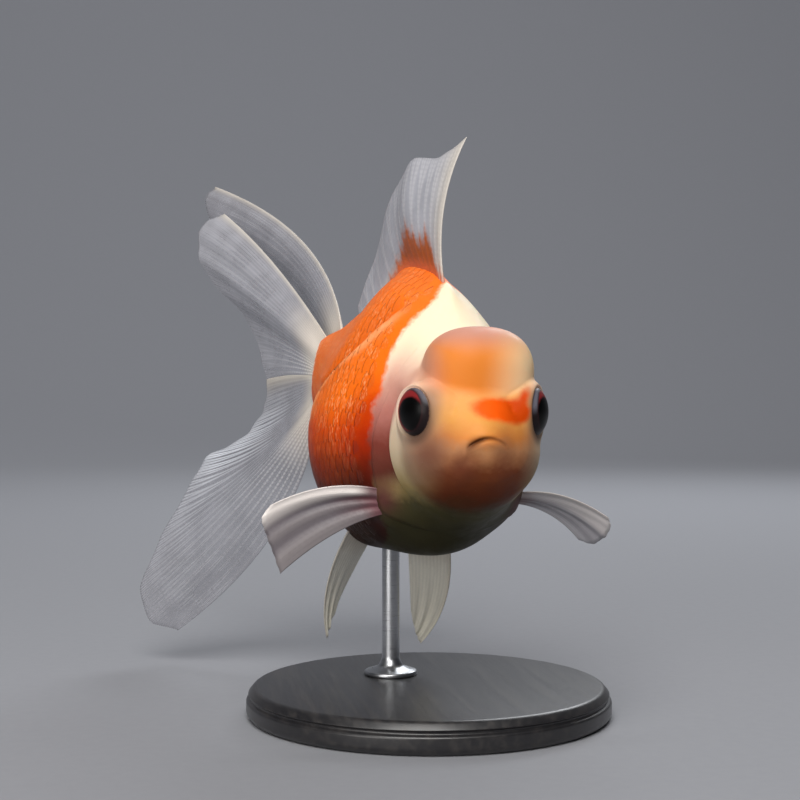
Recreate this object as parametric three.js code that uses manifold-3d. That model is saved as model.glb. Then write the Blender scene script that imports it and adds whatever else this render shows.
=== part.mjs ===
// An oranda goldfish at life size, as a still display model on a rod and a round base.
//
// Millimetres, +Z up. The origin is the middle of the base's underside, and the fish faces -Y,
// so its right side is at -X. Fish coordinates have their origin at the tip of the snout, with
// +X to the fish's left, +Y towards the tail and +Z up; the fish group places them on the stand.
//
// The body is one loft along a spine that turns to the fish's right towards the tail. It is
// parted into head, trunk and tail stem. Fins are thin fans of rays rooted in the body.

import * as THREE from "three";
import { mergeVertices } from "three/addons/utils/BufferGeometryUtils.js";
import Module from "manifold-3d";

const wasm = await Module();
wasm.setup();

// ---- Driving dimensions ----------------------------------------------------------------------

const BODY_LENGTH = 66; // snout to the root of the tail fin
const MOUTH_HEIGHT = 46; // tip of the snout above what the base stands on
const GAP = 0.3; // between neighbouring solids

// The spine turns to the right by this angle, between two shares of the body's length.
const TAIL_TURN = THREE.MathUtils.degToRad(27);
const TURN = { from: 0.18, to: 0.8 };

// Behind the head the trunk leans over by this much about a line under the back, so the belly
// swings to the fish's right.
const TRUNK_LEAN = THREE.MathUtils.degToRad(3.4);
const LEAN = { from: 0.24, to: 0.56, axis: 21 };

// Sections along the body: share of the length, height of the back and of the belly from the
// snout's level, half width, height of the widest level, and the roundness of the section above
// that level and below it (2 is an ellipse, and less is more like a roof or a keel).
const SECTIONS = [
  { at: 0.0, back: 2.8, belly: -3.0, half: 3.4, waist: -0.4, roof: 2.0, keel: 2.15 },
  { at: 0.06, back: 6.6, belly: -6.8, half: 7.4, waist: -1.2, roof: 2.2, keel: 2.15 },
  { at: 0.12, back: 9.8, belly: -9.9, half: 9.8, waist: -1.7, roof: 2.3, keel: 2.05 },
  { at: 0.2, back: 13.5, belly: -12.5, half: 11.0, waist: -1.3, roof: 2.05, keel: 1.85 },
  { at: 0.28, back: 17.5, belly: -15.1, half: 11.9, waist: -0.4, roof: 1.76, keel: 1.8 },
  { at: 0.38, back: 23.0, belly: -18.7, half: 14.2, waist: 0.1, roof: 1.57, keel: 1.95 },
  { at: 0.52, back: 26.9, belly: -19.6, half: 16.5, waist: -0.4, roof: 1.55, keel: 2.1 },
  { at: 0.64, back: 27.4, belly: -18.2, half: 16.5, waist: -1.5, roof: 1.45, keel: 2.15 },
  { at: 0.76, back: 22.6, belly: -12.7, half: 13.2, waist: 0.3, roof: 1.5, keel: 2.15 },
  { at: 0.87, back: 19.5, belly: -4.1, half: 7.0, waist: 5.4, roof: 1.75, keel: 2.2 },
  { at: 1.0, back: 17.4, belly: 3.0, half: 2.8, waist: 8.5, roof: 1.9, keel: 2.25 },
];
const SNOUT_ROUND = 0.055; // share of the length over which the snout rounds off

// Where head and trunk meet, as a share of the length at the side, the top and the throat, and
// where the tail stem starts.
const GILL_LINE = { side: 0.3, top: 0.26, throat: 0.2 };
const STEM_LINE = 0.84;

// An eye is shallow along its axis, which points outwards and this many degrees forward.
const EYE = { radius: 3.8, depth: 2.5, x: 8.3, y: 8.0, z: 4.0, forward: 29 };
const WEN = { x: 1.2, y: 11.4, z: 10.4, halfWidth: 8.2, halfLength: 7.8, height: 6.3 };
const WEN_FULLNESS = 2.35; // 2 is an ellipsoid, and more is fuller
const JAW = { halfWidth: 2.6, arch: 1.3, height: 5.2, depth: 3.6, flare: 1.25 };

// A gill cover is a plate from the gill line forward to a share of the length, between two
// angles below and above the fish's side, sunk in the head and standing a little proud of it.
const GILL_COVER = { front: 0.19, lowest: -62, highest: 38, depth: 1.2, proud: 0.35 };

const BASE = { radius: 30, height: 5, chamfer: 1.2 };
const BASE_CENTRE = { x: -1.5, y: 37 }; // below this point of the fish's frame
const ROD = { at: 0.7, radius: 1.5, footRadius: 4.5, footHeight: 1.4, socket: 9 };

// Fins are thin, and start a little inside the body before they are cut back to it.
const FIN = { rootThickness: 0.9, edgeThickness: 0.5, rootDepth: 1.5 };

// Each fin is a fan given by a few of its rays, from the leading edge to the trailing one. A ray
// has its root on the body, as a share of the length and an angle round the body (0 is the left
// side, 90 the back, 180 the right side and 270 the belly), its tip in fish coordinates, and the
// bow of its middle away from a straight line. Columns run between rays, and rows along them.
const FINS = {
  dorsal_fin: {
    columns: 12,
    rows: 7,
    rays: [
      { root: [0.4, 90], tip: [3.9, 31.9, 48.5], bow: [-2.4, -1.2, 0.2] },
      { root: [0.46, 90], tip: [0.5, 36.3, 46.0], bow: [-2.1, -1.2, 0] },
      { root: [0.53, 90], tip: [-3.0, 41.5, 46.2], bow: [-2.2, -0.9, -0.3] },
      { root: [0.62, 90], tip: [-5.2, 49.0, 42.0], bow: [-1.4, -0.3, 0.3] },
      { root: [0.74, 90], tip: [-7.7, 56.6, 30.6], bow: [-0.4, 0.2, 0.4] },
      { root: [0.83, 90], tip: [-10.1, 60.3, 22.4], bow: [0, 0, 0.2] },
    ],
  },
  pectoral_fin_right: {
    columns: 8,
    rows: 7,
    rays: [
      { root: [0.335, 214], tip: [-28.7, 23.5, -10.4], bow: [0, 0, 1.9] },
      { root: [0.34, 217], tip: [-30.0, 24.2, -12.4], bow: [-0.4, 0.2, 2.0] },
      { root: [0.345, 220], tip: [-29.4, 24.5, -14.6], bow: [-0.5, 0.3, 2.1] },
      { root: [0.35, 223], tip: [-28.3, 24.4, -17.8], bow: [-0.2, 0.1, 2.0] },
      { root: [0.355, 226], tip: [-27.1, 24.2, -21.0], bow: [0.2, 0, 1.8] },
    ],
  },
  pectoral_fin_left: {
    columns: 8,
    rows: 7,
    rays: [
      { root: [0.33, -37], tip: [26.1, 26.4, -13.3], bow: [0, 0, 1.9] },
      { root: [0.338, -37.5], tip: [26.7, 27.2, -14.9], bow: [0.2, 0.1, 1.8] },
      { root: [0.346, -38], tip: [25.7, 27.7, -16.7], bow: [0.4, 0.2, 1.9] },
      { root: [0.354, -38.5], tip: [23.8, 27.6, -17.6], bow: [0.9, 0.1, 2.0] },
      { root: [0.362, -39], tip: [21.3, 27.1, -16.9], bow: [0.6, 0, 1.4] },
    ],
  },
  pelvic_fin_right: {
    columns: 6,
    rows: 7,
    rays: [
      { root: [0.57, 232], tip: [-17.3, 46.0, -34.9], bow: [-2.0, 1.4, -0.5] },
      { root: [0.605, 246], tip: [-16.9, 45.6, -32.8], bow: [-1.3, 1.0, -0.5] },
      { root: [0.64, 258], tip: [-15.6, 45.2, -28.6], bow: [-0.5, 0.4, -0.8] },
    ],
  },
  pelvic_fin_left: {
    columns: 6,
    rows: 7,
    rays: [
      { root: [0.57, 300], tip: [-0.9, 48.0, -36.5], bow: [2.4, 0.5, -1.4] },
      { root: [0.605, 290], tip: [-1.7, 48.0, -34.6], bow: [1.4, 0.6, -1.2] },
      { root: [0.64, 280], tip: [-2.7, 47.2, -30.6], bow: [0.2, 0.6, -1.2] },
    ],
  },
  anal_fin_right: {
    columns: 5,
    rows: 5,
    rays: [
      { root: [0.78, 262], tip: [-13.0, 61.6, -14.4], bow: [0, 0.6, -0.4] },
      { root: [0.82, 262], tip: [-13.8, 65.0, -10.4], bow: [0, 0.4, -0.2] },
      { root: [0.86, 262], tip: [-13.6, 66.0, -6.2], bow: [0, 0.2, 0] },
    ],
  },
  anal_fin_left: {
    columns: 5,
    rows: 5,
    rays: [
      { root: [0.78, 278], tip: [-6.4, 64.0, -14.8], bow: [0, 0.6, -0.4] },
      { root: [0.82, 278], tip: [-8.0, 67.0, -10.8], bow: [0, 0.4, -0.2] },
      { root: [0.86, 278], tip: [-9.4, 67.6, -6.6], bow: [0, 0.2, 0] },
    ],
  },
  tail_fin_right_upper: {
    columns: 9,
    rows: 9,
    rays: [
      { root: [0.965, 106], tip: [-32.4, 99.0, 43.8], bow: [0.4, 0, 1.6] },
      { root: [0.985, 121], tip: [-36.8, 100.0, 41.6], bow: [0.2, 0.6, 2.4] },
      { root: [0.985, 137], tip: [-37.2, 97.0, 33.4], bow: [-0.6, 0.6, 2.0] },
      { root: [0.985, 152], tip: [-27.8, 88.0, 20.4], bow: [-0.6, 0.8, 1.0] },
      { root: [0.985, 165], tip: [-24.7, 81.9, 10.4], bow: [-0.2, 0.6, 0.6] },
    ],
  },
  tail_fin_right_lower: {
    columns: 18,
    rows: 9,
    rays: [
      { root: [0.985, 168], tip: [-25.1, 81.4, 9.0], bow: [-0.4, 0, 0.4] },
      { root: [0.985, 174], tip: [-25.2, 81.7, 5.2], bow: [-0.2, 0, 0.1] },
      { root: [0.985, 180], tip: [-26.8, 82.7, 1.6], bow: [0.2, 0, -0.4] },
      { root: [0.985, 186], tip: [-30.3, 84.8, -2.3], bow: [0.7, 0, -1.2] },
      { root: [0.985, 192], tip: [-36.1, 87.1, -5.3], bow: [1.4, 0, -2.0] },
      { root: [0.985, 199], tip: [-39.1, 88.7, -10.0], bow: [1.8, 0, -2.0] },
      { root: [0.985, 207], tip: [-45.3, 90.6, -21.5], bow: [1.6, 0, -1.0] },
      { root: [0.985, 215], tip: [-49.2, 91.2, -31.8], bow: [1.8, -0.6, -0.4] },
      { root: [0.985, 223], tip: [-47.3, 90.0, -37.8], bow: [3.4, -1.4, -0.8] },
      { root: [0.985, 230], tip: [-42.1, 88.0, -39.6], bow: [5.4, -2.2, -1.4] },
    ],
  },
  tail_fin_left_upper: {
    columns: 9,
    rows: 9,
    rays: [
      { root: [0.93, 78], tip: [-34.0, 109.0, 50.8], bow: [6.2, -0.8, 2.4] },
      { root: [0.955, 62], tip: [-36.0, 109.0, 48.2], bow: [4.8, -0.4, 2.8] },
      { root: [0.985, 43], tip: [-30.4, 105.0, 34.6], bow: [3.2, 0.6, 2.0] },
      { root: [0.985, 29], tip: [-18.0, 99.6, 20.6], bow: [1.8, 0.6, 1.0] },
      { root: [0.985, 17], tip: [-6.6, 91.6, 10.6], bow: [1.0, 0, 0.4] },
    ],
  },
  tail_fin_left_lower: {
    columns: 10,
    rows: 10,
    rays: [
      { root: [0.985, 14], tip: [-6.0, 91.2, 9.6], bow: [1.0, 0, 0.4] },
      { root: [0.985, 1], tip: [2.4, 97.0, -2.2], bow: [1.2, 0, 1.0] },
      { root: [0.985, -14], tip: [10.0, 99.4, -15.0], bow: [1.6, 0, 2.0] },
      { root: [0.985, -32], tip: [12.6, 96.2, -24.0], bow: [1.0, 0, 1.6] },
      { root: [0.985, -50], tip: [7.0, 89.6, -26.4], bow: [-2.2, -1.6, -1.0] },
    ],
  },
};

// Facets round the body and along its lengths, and round the smaller rounds.
const FACETS = { around: 28, head: 11, trunk: 15, stem: 4, room: 24, base: 48, rod: 24 };

// ---- Materials -------------------------------------------------------------------------------

const material = (color, roughness, metalness = 0) =>
  new THREE.MeshStandardMaterial({ color, roughness, metalness });

const LOOKS = {
  flank: () => material("#e9641c", 0.42),
  face: () => material("#e4d3c0", 0.38),
  cap: () => material("#ea9457", 0.45),
  fin: () => material("#d9d6d4", 0.4),
  eye: () => material("#141014", 0.08),
  base: () => material("#2e2d30", 0.45),
  rod: () => material("#b9bcc0", 0.3, 1),
};

// ---- Small tools -----------------------------------------------------------------------------

const lerp = THREE.MathUtils.lerp;
const radians = THREE.MathUtils.degToRad;
const smooth = (x, from, to) => THREE.MathUtils.smoothstep(x, from, to);

// A named value of the stations at t, on a smooth curve through them.
function valueAt(stations, name, t) {
  const last = stations.length - 1;
  let i = 0;
  while (i < last - 1 && t > stations[i + 1].at) i++;
  const slope = (k) => {
    const a = stations[Math.max(k - 1, 0)];
    const b = stations[Math.min(k + 1, last)];
    return (b[name] - a[name]) / (b.at - a.at);
  };
  const [a, b] = [stations[i], stations[i + 1]];
  const step = b.at - a.at;
  const u = (t - a.at) / step;
  const [u2, u3] = [u * u, u * u * u];
  return (
    a[name] * (2 * u3 - 3 * u2 + 1) +
    slope(i) * step * (u3 - 2 * u2 + u) +
    b[name] * (3 * u2 - 2 * u3) +
    slope(i + 1) * step * (u3 - u2)
  );
}

// A solid from points and triangles. A mesh that is inside out is turned.
function solidFrom(points, faces) {
  const make = (order) =>
    new wasm.Manifold(
      new wasm.Mesh({
        numProp: 3,
        vertProperties: Float32Array.from(points.flatMap((p) => [p.x, p.y, p.z])),
        triVerts: Uint32Array.from(order),
      }),
    );
  const made = make(faces);
  if (made.volume() >= 0) return made;
  const swapped = [0, 2, 1];
  return make(faces.map((_, i) => faces[i - (i % 3) + swapped[i % 3]]));
}

// A closed solid from rings of points, each joined to the next, with a fan at each end.
function closedLoft(rings, firstPole, lastPole) {
  const around = rings[0].length;
  const points = [...rings.flat(), firstPole, lastPole];
  const [first, last] = [points.length - 2, points.length - 1];
  const end = rings.length - 1;
  const at = (ring, k) => ring * around + (k % around);
  const faces = [];
  for (let k = 0; k < around; k++) {
    faces.push(first, at(0, k), at(0, k + 1));
    faces.push(last, at(end, k + 1), at(end, k));
    for (let ring = 0; ring < end; ring++) {
      faces.push(at(ring, k), at(ring + 1, k), at(ring + 1, k + 1));
      faces.push(at(ring, k), at(ring + 1, k + 1), at(ring, k + 1));
    }
  }
  return solidFrom(points, faces);
}

// A closed slab between two surfaces, front(u, v) and rear(u, v), sampled on the same grid.
function slab(front, rear, columns, rows) {
  const points = [];
  for (const face of [front, rear])
    for (let i = 0; i <= columns; i++)
      for (let j = 0; j <= rows; j++) points.push(face(i / columns, j / rows));
  const line = rows + 1;
  const other = (columns + 1) * line;
  const faces = [];
  const quad = (a, b, c, d) => faces.push(a, b, c, a, c, d);
  for (let i = 0; i < columns; i++)
    for (let j = 0; j < rows; j++) {
      const a = i * line + j;
      quad(a, a + line, a + line + 1, a + 1);
      quad(other + a, other + a + 1, other + a + line + 1, other + a + line);
    }
  for (let i = 0; i < columns; i++) {
    const [low, high] = [i * line, i * line + rows];
    quad(low, other + low, other + low + line, low + line);
    quad(high, high + line, other + high + line, other + high);
  }
  for (let j = 0; j < rows; j++) {
    const [low, high] = [j, columns * line + j];
    quad(low, low + 1, other + low + 1, other + low);
    quad(high, other + high, other + high + 1, high + 1);
  }
  return solidFrom(points, faces);
}

// A three.js geometry as a solid, with its shared vertices merged.
function solidOf(geometry) {
  const bare = geometry.clone();
  for (const name of ["normal", "uv"]) bare.deleteAttribute(name);
  const merged = mergeVertices(bare, 1e-4);
  return new wasm.Manifold(
    new wasm.Mesh({
      numProp: 3,
      vertProperties: Float32Array.from(merged.attributes.position.array),
      triVerts: Uint32Array.from(merged.index.array),
    }),
  );
}

function meshOf(name, solid, look) {
  const made = solid.getMesh();
  const geometry = new THREE.BufferGeometry()
    .setAttribute("position", new THREE.BufferAttribute(made.vertProperties, 3))
    .setIndex(new THREE.BufferAttribute(made.triVerts, 1));
  geometry.computeVertexNormals();
  const mesh = new THREE.Mesh(geometry, look());
  mesh.name = name;
  return mesh;
}

// ---- The body --------------------------------------------------------------------------------

// The spine in fine steps: its point and heading at each share of the length.
const SPINE_STEPS = 240;
const spine = [{ x: 0, y: 0, heading: 0 }];
for (let i = 1; i <= SPINE_STEPS; i++) {
  const before = spine[i - 1];
  const heading = TAIL_TURN * smooth((i - 0.5) / SPINE_STEPS, TURN.from, TURN.to);
  const step = BODY_LENGTH / SPINE_STEPS;
  const x = before.x - Math.sin(heading) * step;
  const y = before.y + Math.cos(heading) * step;
  spine.push({ x, y, heading });
}

function spineAt(t) {
  const place = THREE.MathUtils.clamp(t, 0, 1) * SPINE_STEPS;
  const i = Math.min(Math.floor(place), SPINE_STEPS - 1);
  const [a, b] = [spine[i], spine[i + 1]];
  const share = place - i;
  return {
    x: lerp(a.x, b.x, share),
    y: lerp(a.y, b.y, share),
    heading: lerp(a.heading, b.heading, share),
  };
}

// A point of the section at t, from its offset to the left and its level before the lean.
function sectionPoint(t, across, level, back = 0) {
  const at = spineAt(t);
  const lean = TRUNK_LEAN * smooth(t, LEAN.from, LEAN.to);
  const arm = level - LEAN.axis;
  const left = across * Math.cos(lean) + arm * Math.sin(lean);
  return new THREE.Vector3(
    at.x + left * Math.cos(at.heading),
    at.y + left * Math.sin(at.heading) + back,
    LEAN.axis + arm * Math.cos(lean) - across * Math.sin(lean),
  );
}

// A point of the body's surface, or of one that is larger all over by grow.
function bodyPoint(t, degrees, grow = 0) {
  const [c, s] = [Math.cos(radians(degrees)), Math.sin(radians(degrees))];
  const value = (name) => valueAt(SECTIONS, name, t);
  const fromTip = Math.min(t / SNOUT_ROUND, 1);
  const nose = Math.sqrt(1 - (1 - fromTip) ** 2);
  const roundness = value(s >= 0 ? "roof" : "keel");
  const waist = value("waist");
  const height = s >= 0 ? value("back") - waist : waist - value("belly");
  const power = 2 / roundness;
  const across = (value("half") * nose + grow) * Math.sign(c) * Math.abs(c) ** power;
  const up = (height * nose + grow) * Math.sign(s) * Math.abs(s) ** power;
  return sectionPoint(t, across, waist + up, -grow * (1 - fromTip));
}

const middleOf = (t) => sectionPoint(t, 0, valueAt(SECTIONS, "waist", t));
const meanOf = (line) => (line(0) + line(90) + line(270)) / 3;
const straightLine = (t) => () => t;

// The gill line's share of the length at each angle, moved back by shift.
const gillLine = (shift) => (degrees) => {
  const s = Math.sin(radians(degrees));
  const end = s >= 0 ? GILL_LINE.top : GILL_LINE.throat;
  return lerp(GILL_LINE.side, end, s * s) + shift / BODY_LENGTH;
};

// A length of the body between two lines, or from the snout's tip where from is null.
function bodyLength(from, to, rows, grow = 0) {
  const start = from ?? straightLine(0);
  const rings = [];
  for (let r = from ? 0 : 1; r <= rows; r++) {
    const share = (r / rows) ** (from ? 1 : 1.5); // finer near the snout
    const ring = [];
    for (let k = 0; k < FACETS.around; k++) {
      const degrees = (360 * k) / FACETS.around;
      ring.push(bodyPoint(lerp(start(degrees), to(degrees), share), degrees, grow));
    }
    rings.push(ring);
  }
  const tip = sectionPoint(0, 0, SECTIONS[0].waist, -grow);
  return closedLoft(rings, from ? middleOf(meanOf(from)) : tip, middleOf(meanOf(to)));
}

const head = bodyLength(null, gillLine(0), FACETS.head);
const trunk = bodyLength(gillLine(GAP), straightLine(STEM_LINE), FACETS.trunk);
const stemStart = straightLine(STEM_LINE + GAP / BODY_LENGTH);
const stem = bodyLength(stemStart, straightLine(1), FACETS.stem);

// The whole body and the front half of it, larger by the gap, to cut its neighbours clear.
const roomForBody = bodyLength(null, straightLine(1), FACETS.room, GAP);
const roomForHead = bodyLength(null, straightLine(0.5), FACETS.room, GAP);

// ---- What the head carries -------------------------------------------------------------------

function ellipsoid(halves, segments, rings) {
  const geometry = new THREE.SphereGeometry(1, segments, rings);
  geometry.scale(...halves);
  return solidOf(geometry);
}

function eye(side, grow = 0) {
  const radius = EYE.radius + grow;
  const ball = ellipsoid([EYE.depth + grow, radius, radius], 16, 10);
  return ball.rotate([0, 0, -side * EYE.forward]).translate([side * EYE.x, EYE.y, EYE.z]);
}

// The wen is the fleshy cap on the head.
function wen() {
  const dome = ellipsoid([1, 1, 1], 22, 12)
    .warp((point) => {
      const reach = point.reduce((sum, x) => sum + Math.abs(x) ** WEN_FULLNESS, 0);
      point.forEach((x, axis) => (point[axis] = x / reach ** (1 / WEN_FULLNESS)));
    })
    .scale([WEN.halfWidth, WEN.halfLength, WEN.height]);
  const placed = dome.translate([WEN.x, WEN.y, WEN.z]);
  return placed.subtract(roomForHead).subtract(eye(1, GAP)).subtract(eye(-1, GAP));
}

// A block with the lower jaw's outline from the front: the arched line of the mouth on top,
// and a chin that is wider than the mouth.
function jawBlock(grow) {
  const mouthCorner = JAW.halfWidth + grow;
  const chinCorner = mouthCorner * JAW.flare;
  const chinLevel = -JAW.arch - JAW.height / 2;
  const outline = new THREE.Shape();
  outline.moveTo(-mouthCorner, -JAW.arch + grow);
  outline.quadraticCurveTo(0, JAW.arch + grow, mouthCorner, -JAW.arch + grow);
  outline.lineTo(chinCorner, chinLevel);
  outline.quadraticCurveTo(0, chinLevel - JAW.height - grow, -chinCorner, chinLevel);
  const past = 2; // the block starts this far in front of the snout
  const geometry = new THREE.ExtrudeGeometry(outline, {
    depth: JAW.depth + grow + past,
    bevelEnabled: false,
    curveSegments: 10,
  });
  geometry.rotateX(Math.PI / 2); // the outline's depth now runs along -Y
  geometry.translate(0, JAW.depth + grow, 0);
  return solidOf(geometry);
}

// A gill cover between two depths of the head's side, larger all round by margin.
function gillPlate(side, inner, outer, margin) {
  const face = (grow) => (u, v) => {
    const spread = margin * 4; // degrees
    const angle = lerp(GILL_COVER.lowest - spread, GILL_COVER.highest + spread, v);
    const degrees = side > 0 ? angle : 180 - angle;
    const rounding = Math.sin(Math.PI * v) ** 0.5;
    const edge = gillLine(0)(degrees);
    const front = lerp(edge - 0.03, GILL_COVER.front, rounding) - margin / BODY_LENGTH;
    const rear = edge + (margin ? 2 : -0.2) / BODY_LENGTH;
    return bodyPoint(lerp(front, rear, u), degrees, grow);
  };
  return slab(face(outer), face(inner), 5, 10);
}

const gillCover = (side) => gillPlate(side, -GILL_COVER.depth, GILL_COVER.proud, 0);

function skull() {
  let cut = head.subtract(jawBlock(GAP));
  for (const side of [-1, 1]) {
    cut = cut.subtract(eye(side, GAP));
    cut = cut.subtract(gillPlate(side, -GILL_COVER.depth - GAP, 4, GAP));
  }
  return cut;
}

// ---- Fins ------------------------------------------------------------------------------------

// The fin's middle surface: u runs from the leading ray to the trailing one, v along each ray.
function finSurface(rays) {
  const curve = (points) => new THREE.CatmullRomCurve3(points, false, "centripetal");
  const root = curve(rays.map((ray) => bodyPoint(...ray.root, -FIN.rootDepth)));
  const tip = curve(rays.map((ray) => new THREE.Vector3(...ray.tip)));
  const bow = curve(rays.map((ray) => new THREE.Vector3(...ray.bow)));
  return (u, v) => {
    const lift = bow.getPoint(u).multiplyScalar(4 * v * (1 - v));
    return root.getPoint(u).lerp(tip.getPoint(u), v).add(lift);
  };
}

function finSolid({ rays, columns, rows }) {
  const surface = finSurface(rays);
  const reach = 0.02;
  const inside = (x) => THREE.MathUtils.clamp(x, reach, 1 - reach);
  const face = (side) => (u, v) => {
    const [a, b] = [inside(u), inside(v)];
    const downRay = surface(a, b + reach).sub(surface(a, b - reach));
    const overFan = surface(a + reach, b).sub(surface(a - reach, b));
    const normal = downRay.cross(overFan).normalize();
    const half = lerp(FIN.rootThickness, FIN.edgeThickness, v) / 2;
    return surface(u, v).addScaledVector(normal, side * half);
  };
  return slab(face(1), face(-1), columns, rows).subtract(roomForBody);
}

// ---- Stand -----------------------------------------------------------------------------------

function turned(profile, segments) {
  const points = profile.map(([radius, height]) => new THREE.Vector2(radius, height));
  return solidOf(new THREE.LatheGeometry(points, segments).rotateX(Math.PI / 2));
}

function base() {
  const profile = [
    [0, 0],
    [BASE.radius, 0],
    [BASE.radius, BASE.height - BASE.chamfer],
    [BASE.radius - BASE.chamfer, BASE.height],
    [0, BASE.height],
  ];
  return turned(profile, FACETS.base);
}

// The rod, from the base's top to its end in the belly, in fish coordinates.
function rod(grow) {
  const foot = BASE.height - MOUTH_HEIGHT;
  const top = bodyPoint(ROD.at, 270).z + ROD.socket + grow;
  const radius = ROD.radius + grow;
  const profile = [
    [0, foot],
    [ROD.footRadius, foot],
    [ROD.footRadius, foot + ROD.footHeight / 2],
    [radius + 0.6, foot + ROD.footHeight],
    [radius, foot + ROD.footHeight * 2],
    [radius, top],
    [0, top],
  ];
  const { x, y } = spineAt(ROD.at);
  return turned(profile, FACETS.rod).translate([x, y, 0]);
}

// ---- The model -------------------------------------------------------------------------------

const fish = new THREE.Group();
fish.add(
  meshOf("head", skull(), LOOKS.face),
  meshOf("lower_jaw", head.intersect(jawBlock(0)), LOOKS.face),
  meshOf("gill_cover_left", gillCover(1), LOOKS.face),
  meshOf("gill_cover_right", gillCover(-1), LOOKS.face),
  meshOf("wen", wen(), LOOKS.cap),
  meshOf("eye_left", eye(1), LOOKS.eye),
  meshOf("eye_right", eye(-1), LOOKS.eye),
  meshOf("trunk", trunk.subtract(rod(GAP)), LOOKS.flank),
  meshOf("tail_stem", stem, LOOKS.flank),
  meshOf("stand_rod", rod(0), LOOKS.rod),
);
for (const [name, fin] of Object.entries(FINS)) {
  fish.add(meshOf(name, finSolid(fin), LOOKS.fin));
}
fish.position.set(-BASE_CENTRE.x, -BASE_CENTRE.y, MOUTH_HEIGHT);

const model = new THREE.Group();
model.add(fish, meshOf("stand_base", base(), LOOKS.base));

export default model;
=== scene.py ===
"""A life-size oranda goldfish on a display stand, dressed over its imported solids.

One skin covers head, trunk and tail stem, and over it lie two joined coats of scales. Fins, eyes, rod
and base are pieces of their own. Sizes of the fish are in millimetres in the fish's own frame, as in
the part's source: the origin at the tip of the snout, +X to the fish's left, +Y towards the tail and
+Z up. A place on the body is a share t of its length and an angle round it, where 0 is the left side,
90 the back, 180 the right side and 270 the belly.
"""

import math

import bpy
import numpy as np
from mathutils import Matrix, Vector


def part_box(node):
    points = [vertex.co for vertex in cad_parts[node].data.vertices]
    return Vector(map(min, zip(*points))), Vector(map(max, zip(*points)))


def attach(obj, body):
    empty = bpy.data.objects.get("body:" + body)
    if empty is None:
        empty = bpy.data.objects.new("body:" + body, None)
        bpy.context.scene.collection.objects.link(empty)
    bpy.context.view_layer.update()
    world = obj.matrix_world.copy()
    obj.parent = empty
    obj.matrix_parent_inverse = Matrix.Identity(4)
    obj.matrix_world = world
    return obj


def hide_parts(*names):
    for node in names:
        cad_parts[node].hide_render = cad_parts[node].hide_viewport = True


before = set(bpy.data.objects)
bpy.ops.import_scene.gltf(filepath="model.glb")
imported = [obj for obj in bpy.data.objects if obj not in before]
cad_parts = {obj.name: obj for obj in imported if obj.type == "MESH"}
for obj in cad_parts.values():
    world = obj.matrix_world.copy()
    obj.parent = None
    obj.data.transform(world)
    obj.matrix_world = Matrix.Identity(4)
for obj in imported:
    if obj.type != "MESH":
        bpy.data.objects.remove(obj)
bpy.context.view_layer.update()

MM = 0.001
RANDOM_SEED = 7

# ---- The body's driving sizes, as in the part's source ----------------------------------------------

BODY_LENGTH = 66.0
MOUTH_HEIGHT = 46.0
BASE_CENTRE = (-1.5, 37.0)  # below this point of the fish's frame
TAIL_TURN = math.radians(27)
TURN_FROM, TURN_TO = 0.18, 0.8
TRUNK_LEAN = math.radians(3.4)
LEAN_FROM, LEAN_TO, LEAN_AXIS = 0.24, 0.56, 21.0

# Sections: share of the length, back, belly, half width, widest level, roundness above and below it.
SECTION_NAMES = ("at", "back", "belly", "half", "waist", "roof", "keel")
SECTIONS = np.array([
    (0.00, 2.8, -3.0, 3.4, -0.4, 2.00, 2.15),
    (0.06, 6.6, -6.8, 7.4, -1.2, 2.20, 2.15),
    (0.12, 9.8, -9.9, 9.8, -1.7, 2.30, 2.05),
    (0.20, 13.5, -12.5, 11.0, -1.3, 2.05, 1.85),
    (0.28, 17.5, -15.1, 11.9, -0.4, 1.76, 1.80),
    (0.38, 23.0, -18.7, 14.2, 0.1, 1.57, 1.95),
    (0.52, 26.9, -19.6, 16.5, -0.4, 1.55, 2.10),
    (0.64, 27.4, -18.2, 16.5, -1.5, 1.45, 2.15),
    (0.76, 22.6, -12.7, 13.2, 0.3, 1.50, 2.15),
    (0.87, 19.5, -4.1, 7.0, 5.4, 1.75, 2.20),
    (1.00, 17.4, 3.0, 2.8, 8.5, 1.90, 2.25),
])
SNOUT_ROUND = 0.055
MEAN_GIRTH_RADIUS = 15.0

# ---- The head ---------------------------------------------------------------------------------------

EYE_CENTRE = np.array([8.3, 8.0, 4.0])  # of the left eye
EYE_RADIUS = 3.8
EYE_DEPTH = 2.5  # from its middle plane to its front
EYE_RIM = 3.5  # the skin closes on the eye this far from its axis
EYE_FORWARD = math.radians(29)
WEN_CENTRE = np.array([1.2, 11.9, 9.6])
WEN_HALVES = np.array([8.2, 7.7, 7.0])
WEN_FULLNESS = 2.4  # 2 is an ellipsoid, and more is fuller
WEN_DRAWN_OUT = 1.7
MOUTH_MIDDLE, MOUTH_HALF = 0.3, 2.7
MOUTH_ARCH = 1.05
NOSTRIL = np.array([4.3, 3.3, 4.4])  # the left one

# ---- The coat ---------------------------------------------------------------------------------------

COAT = 0.3  # the skin lies this far inside the solids, and the scales fill that depth
SCALE_ROWS = 50  # round the fattest part of the body
SCALE_PITCHES = 2.0, 1.25  # along the body, over the trunk and at the root of the tail
SCALE_HALVES = 1.95, 1.35  # half a scale's length, at the same places
SCALE_HALF_WIDTH = 1.25  # in rows
SCALE_THICKNESS = 0.04
SCALE_LIFT = -0.05, 0.036  # over the skin, at its hidden end and its free one
SCALE_BEND = 0.09  # its sides bend down this far
COAT_FROM, COAT_TO = 0.2, 0.985  # shares of the length
SCALE_PATCH = 0.0015  # half a scale's size in the unwrap

# ---- The fins ---------------------------------------------------------------------------------------

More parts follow.
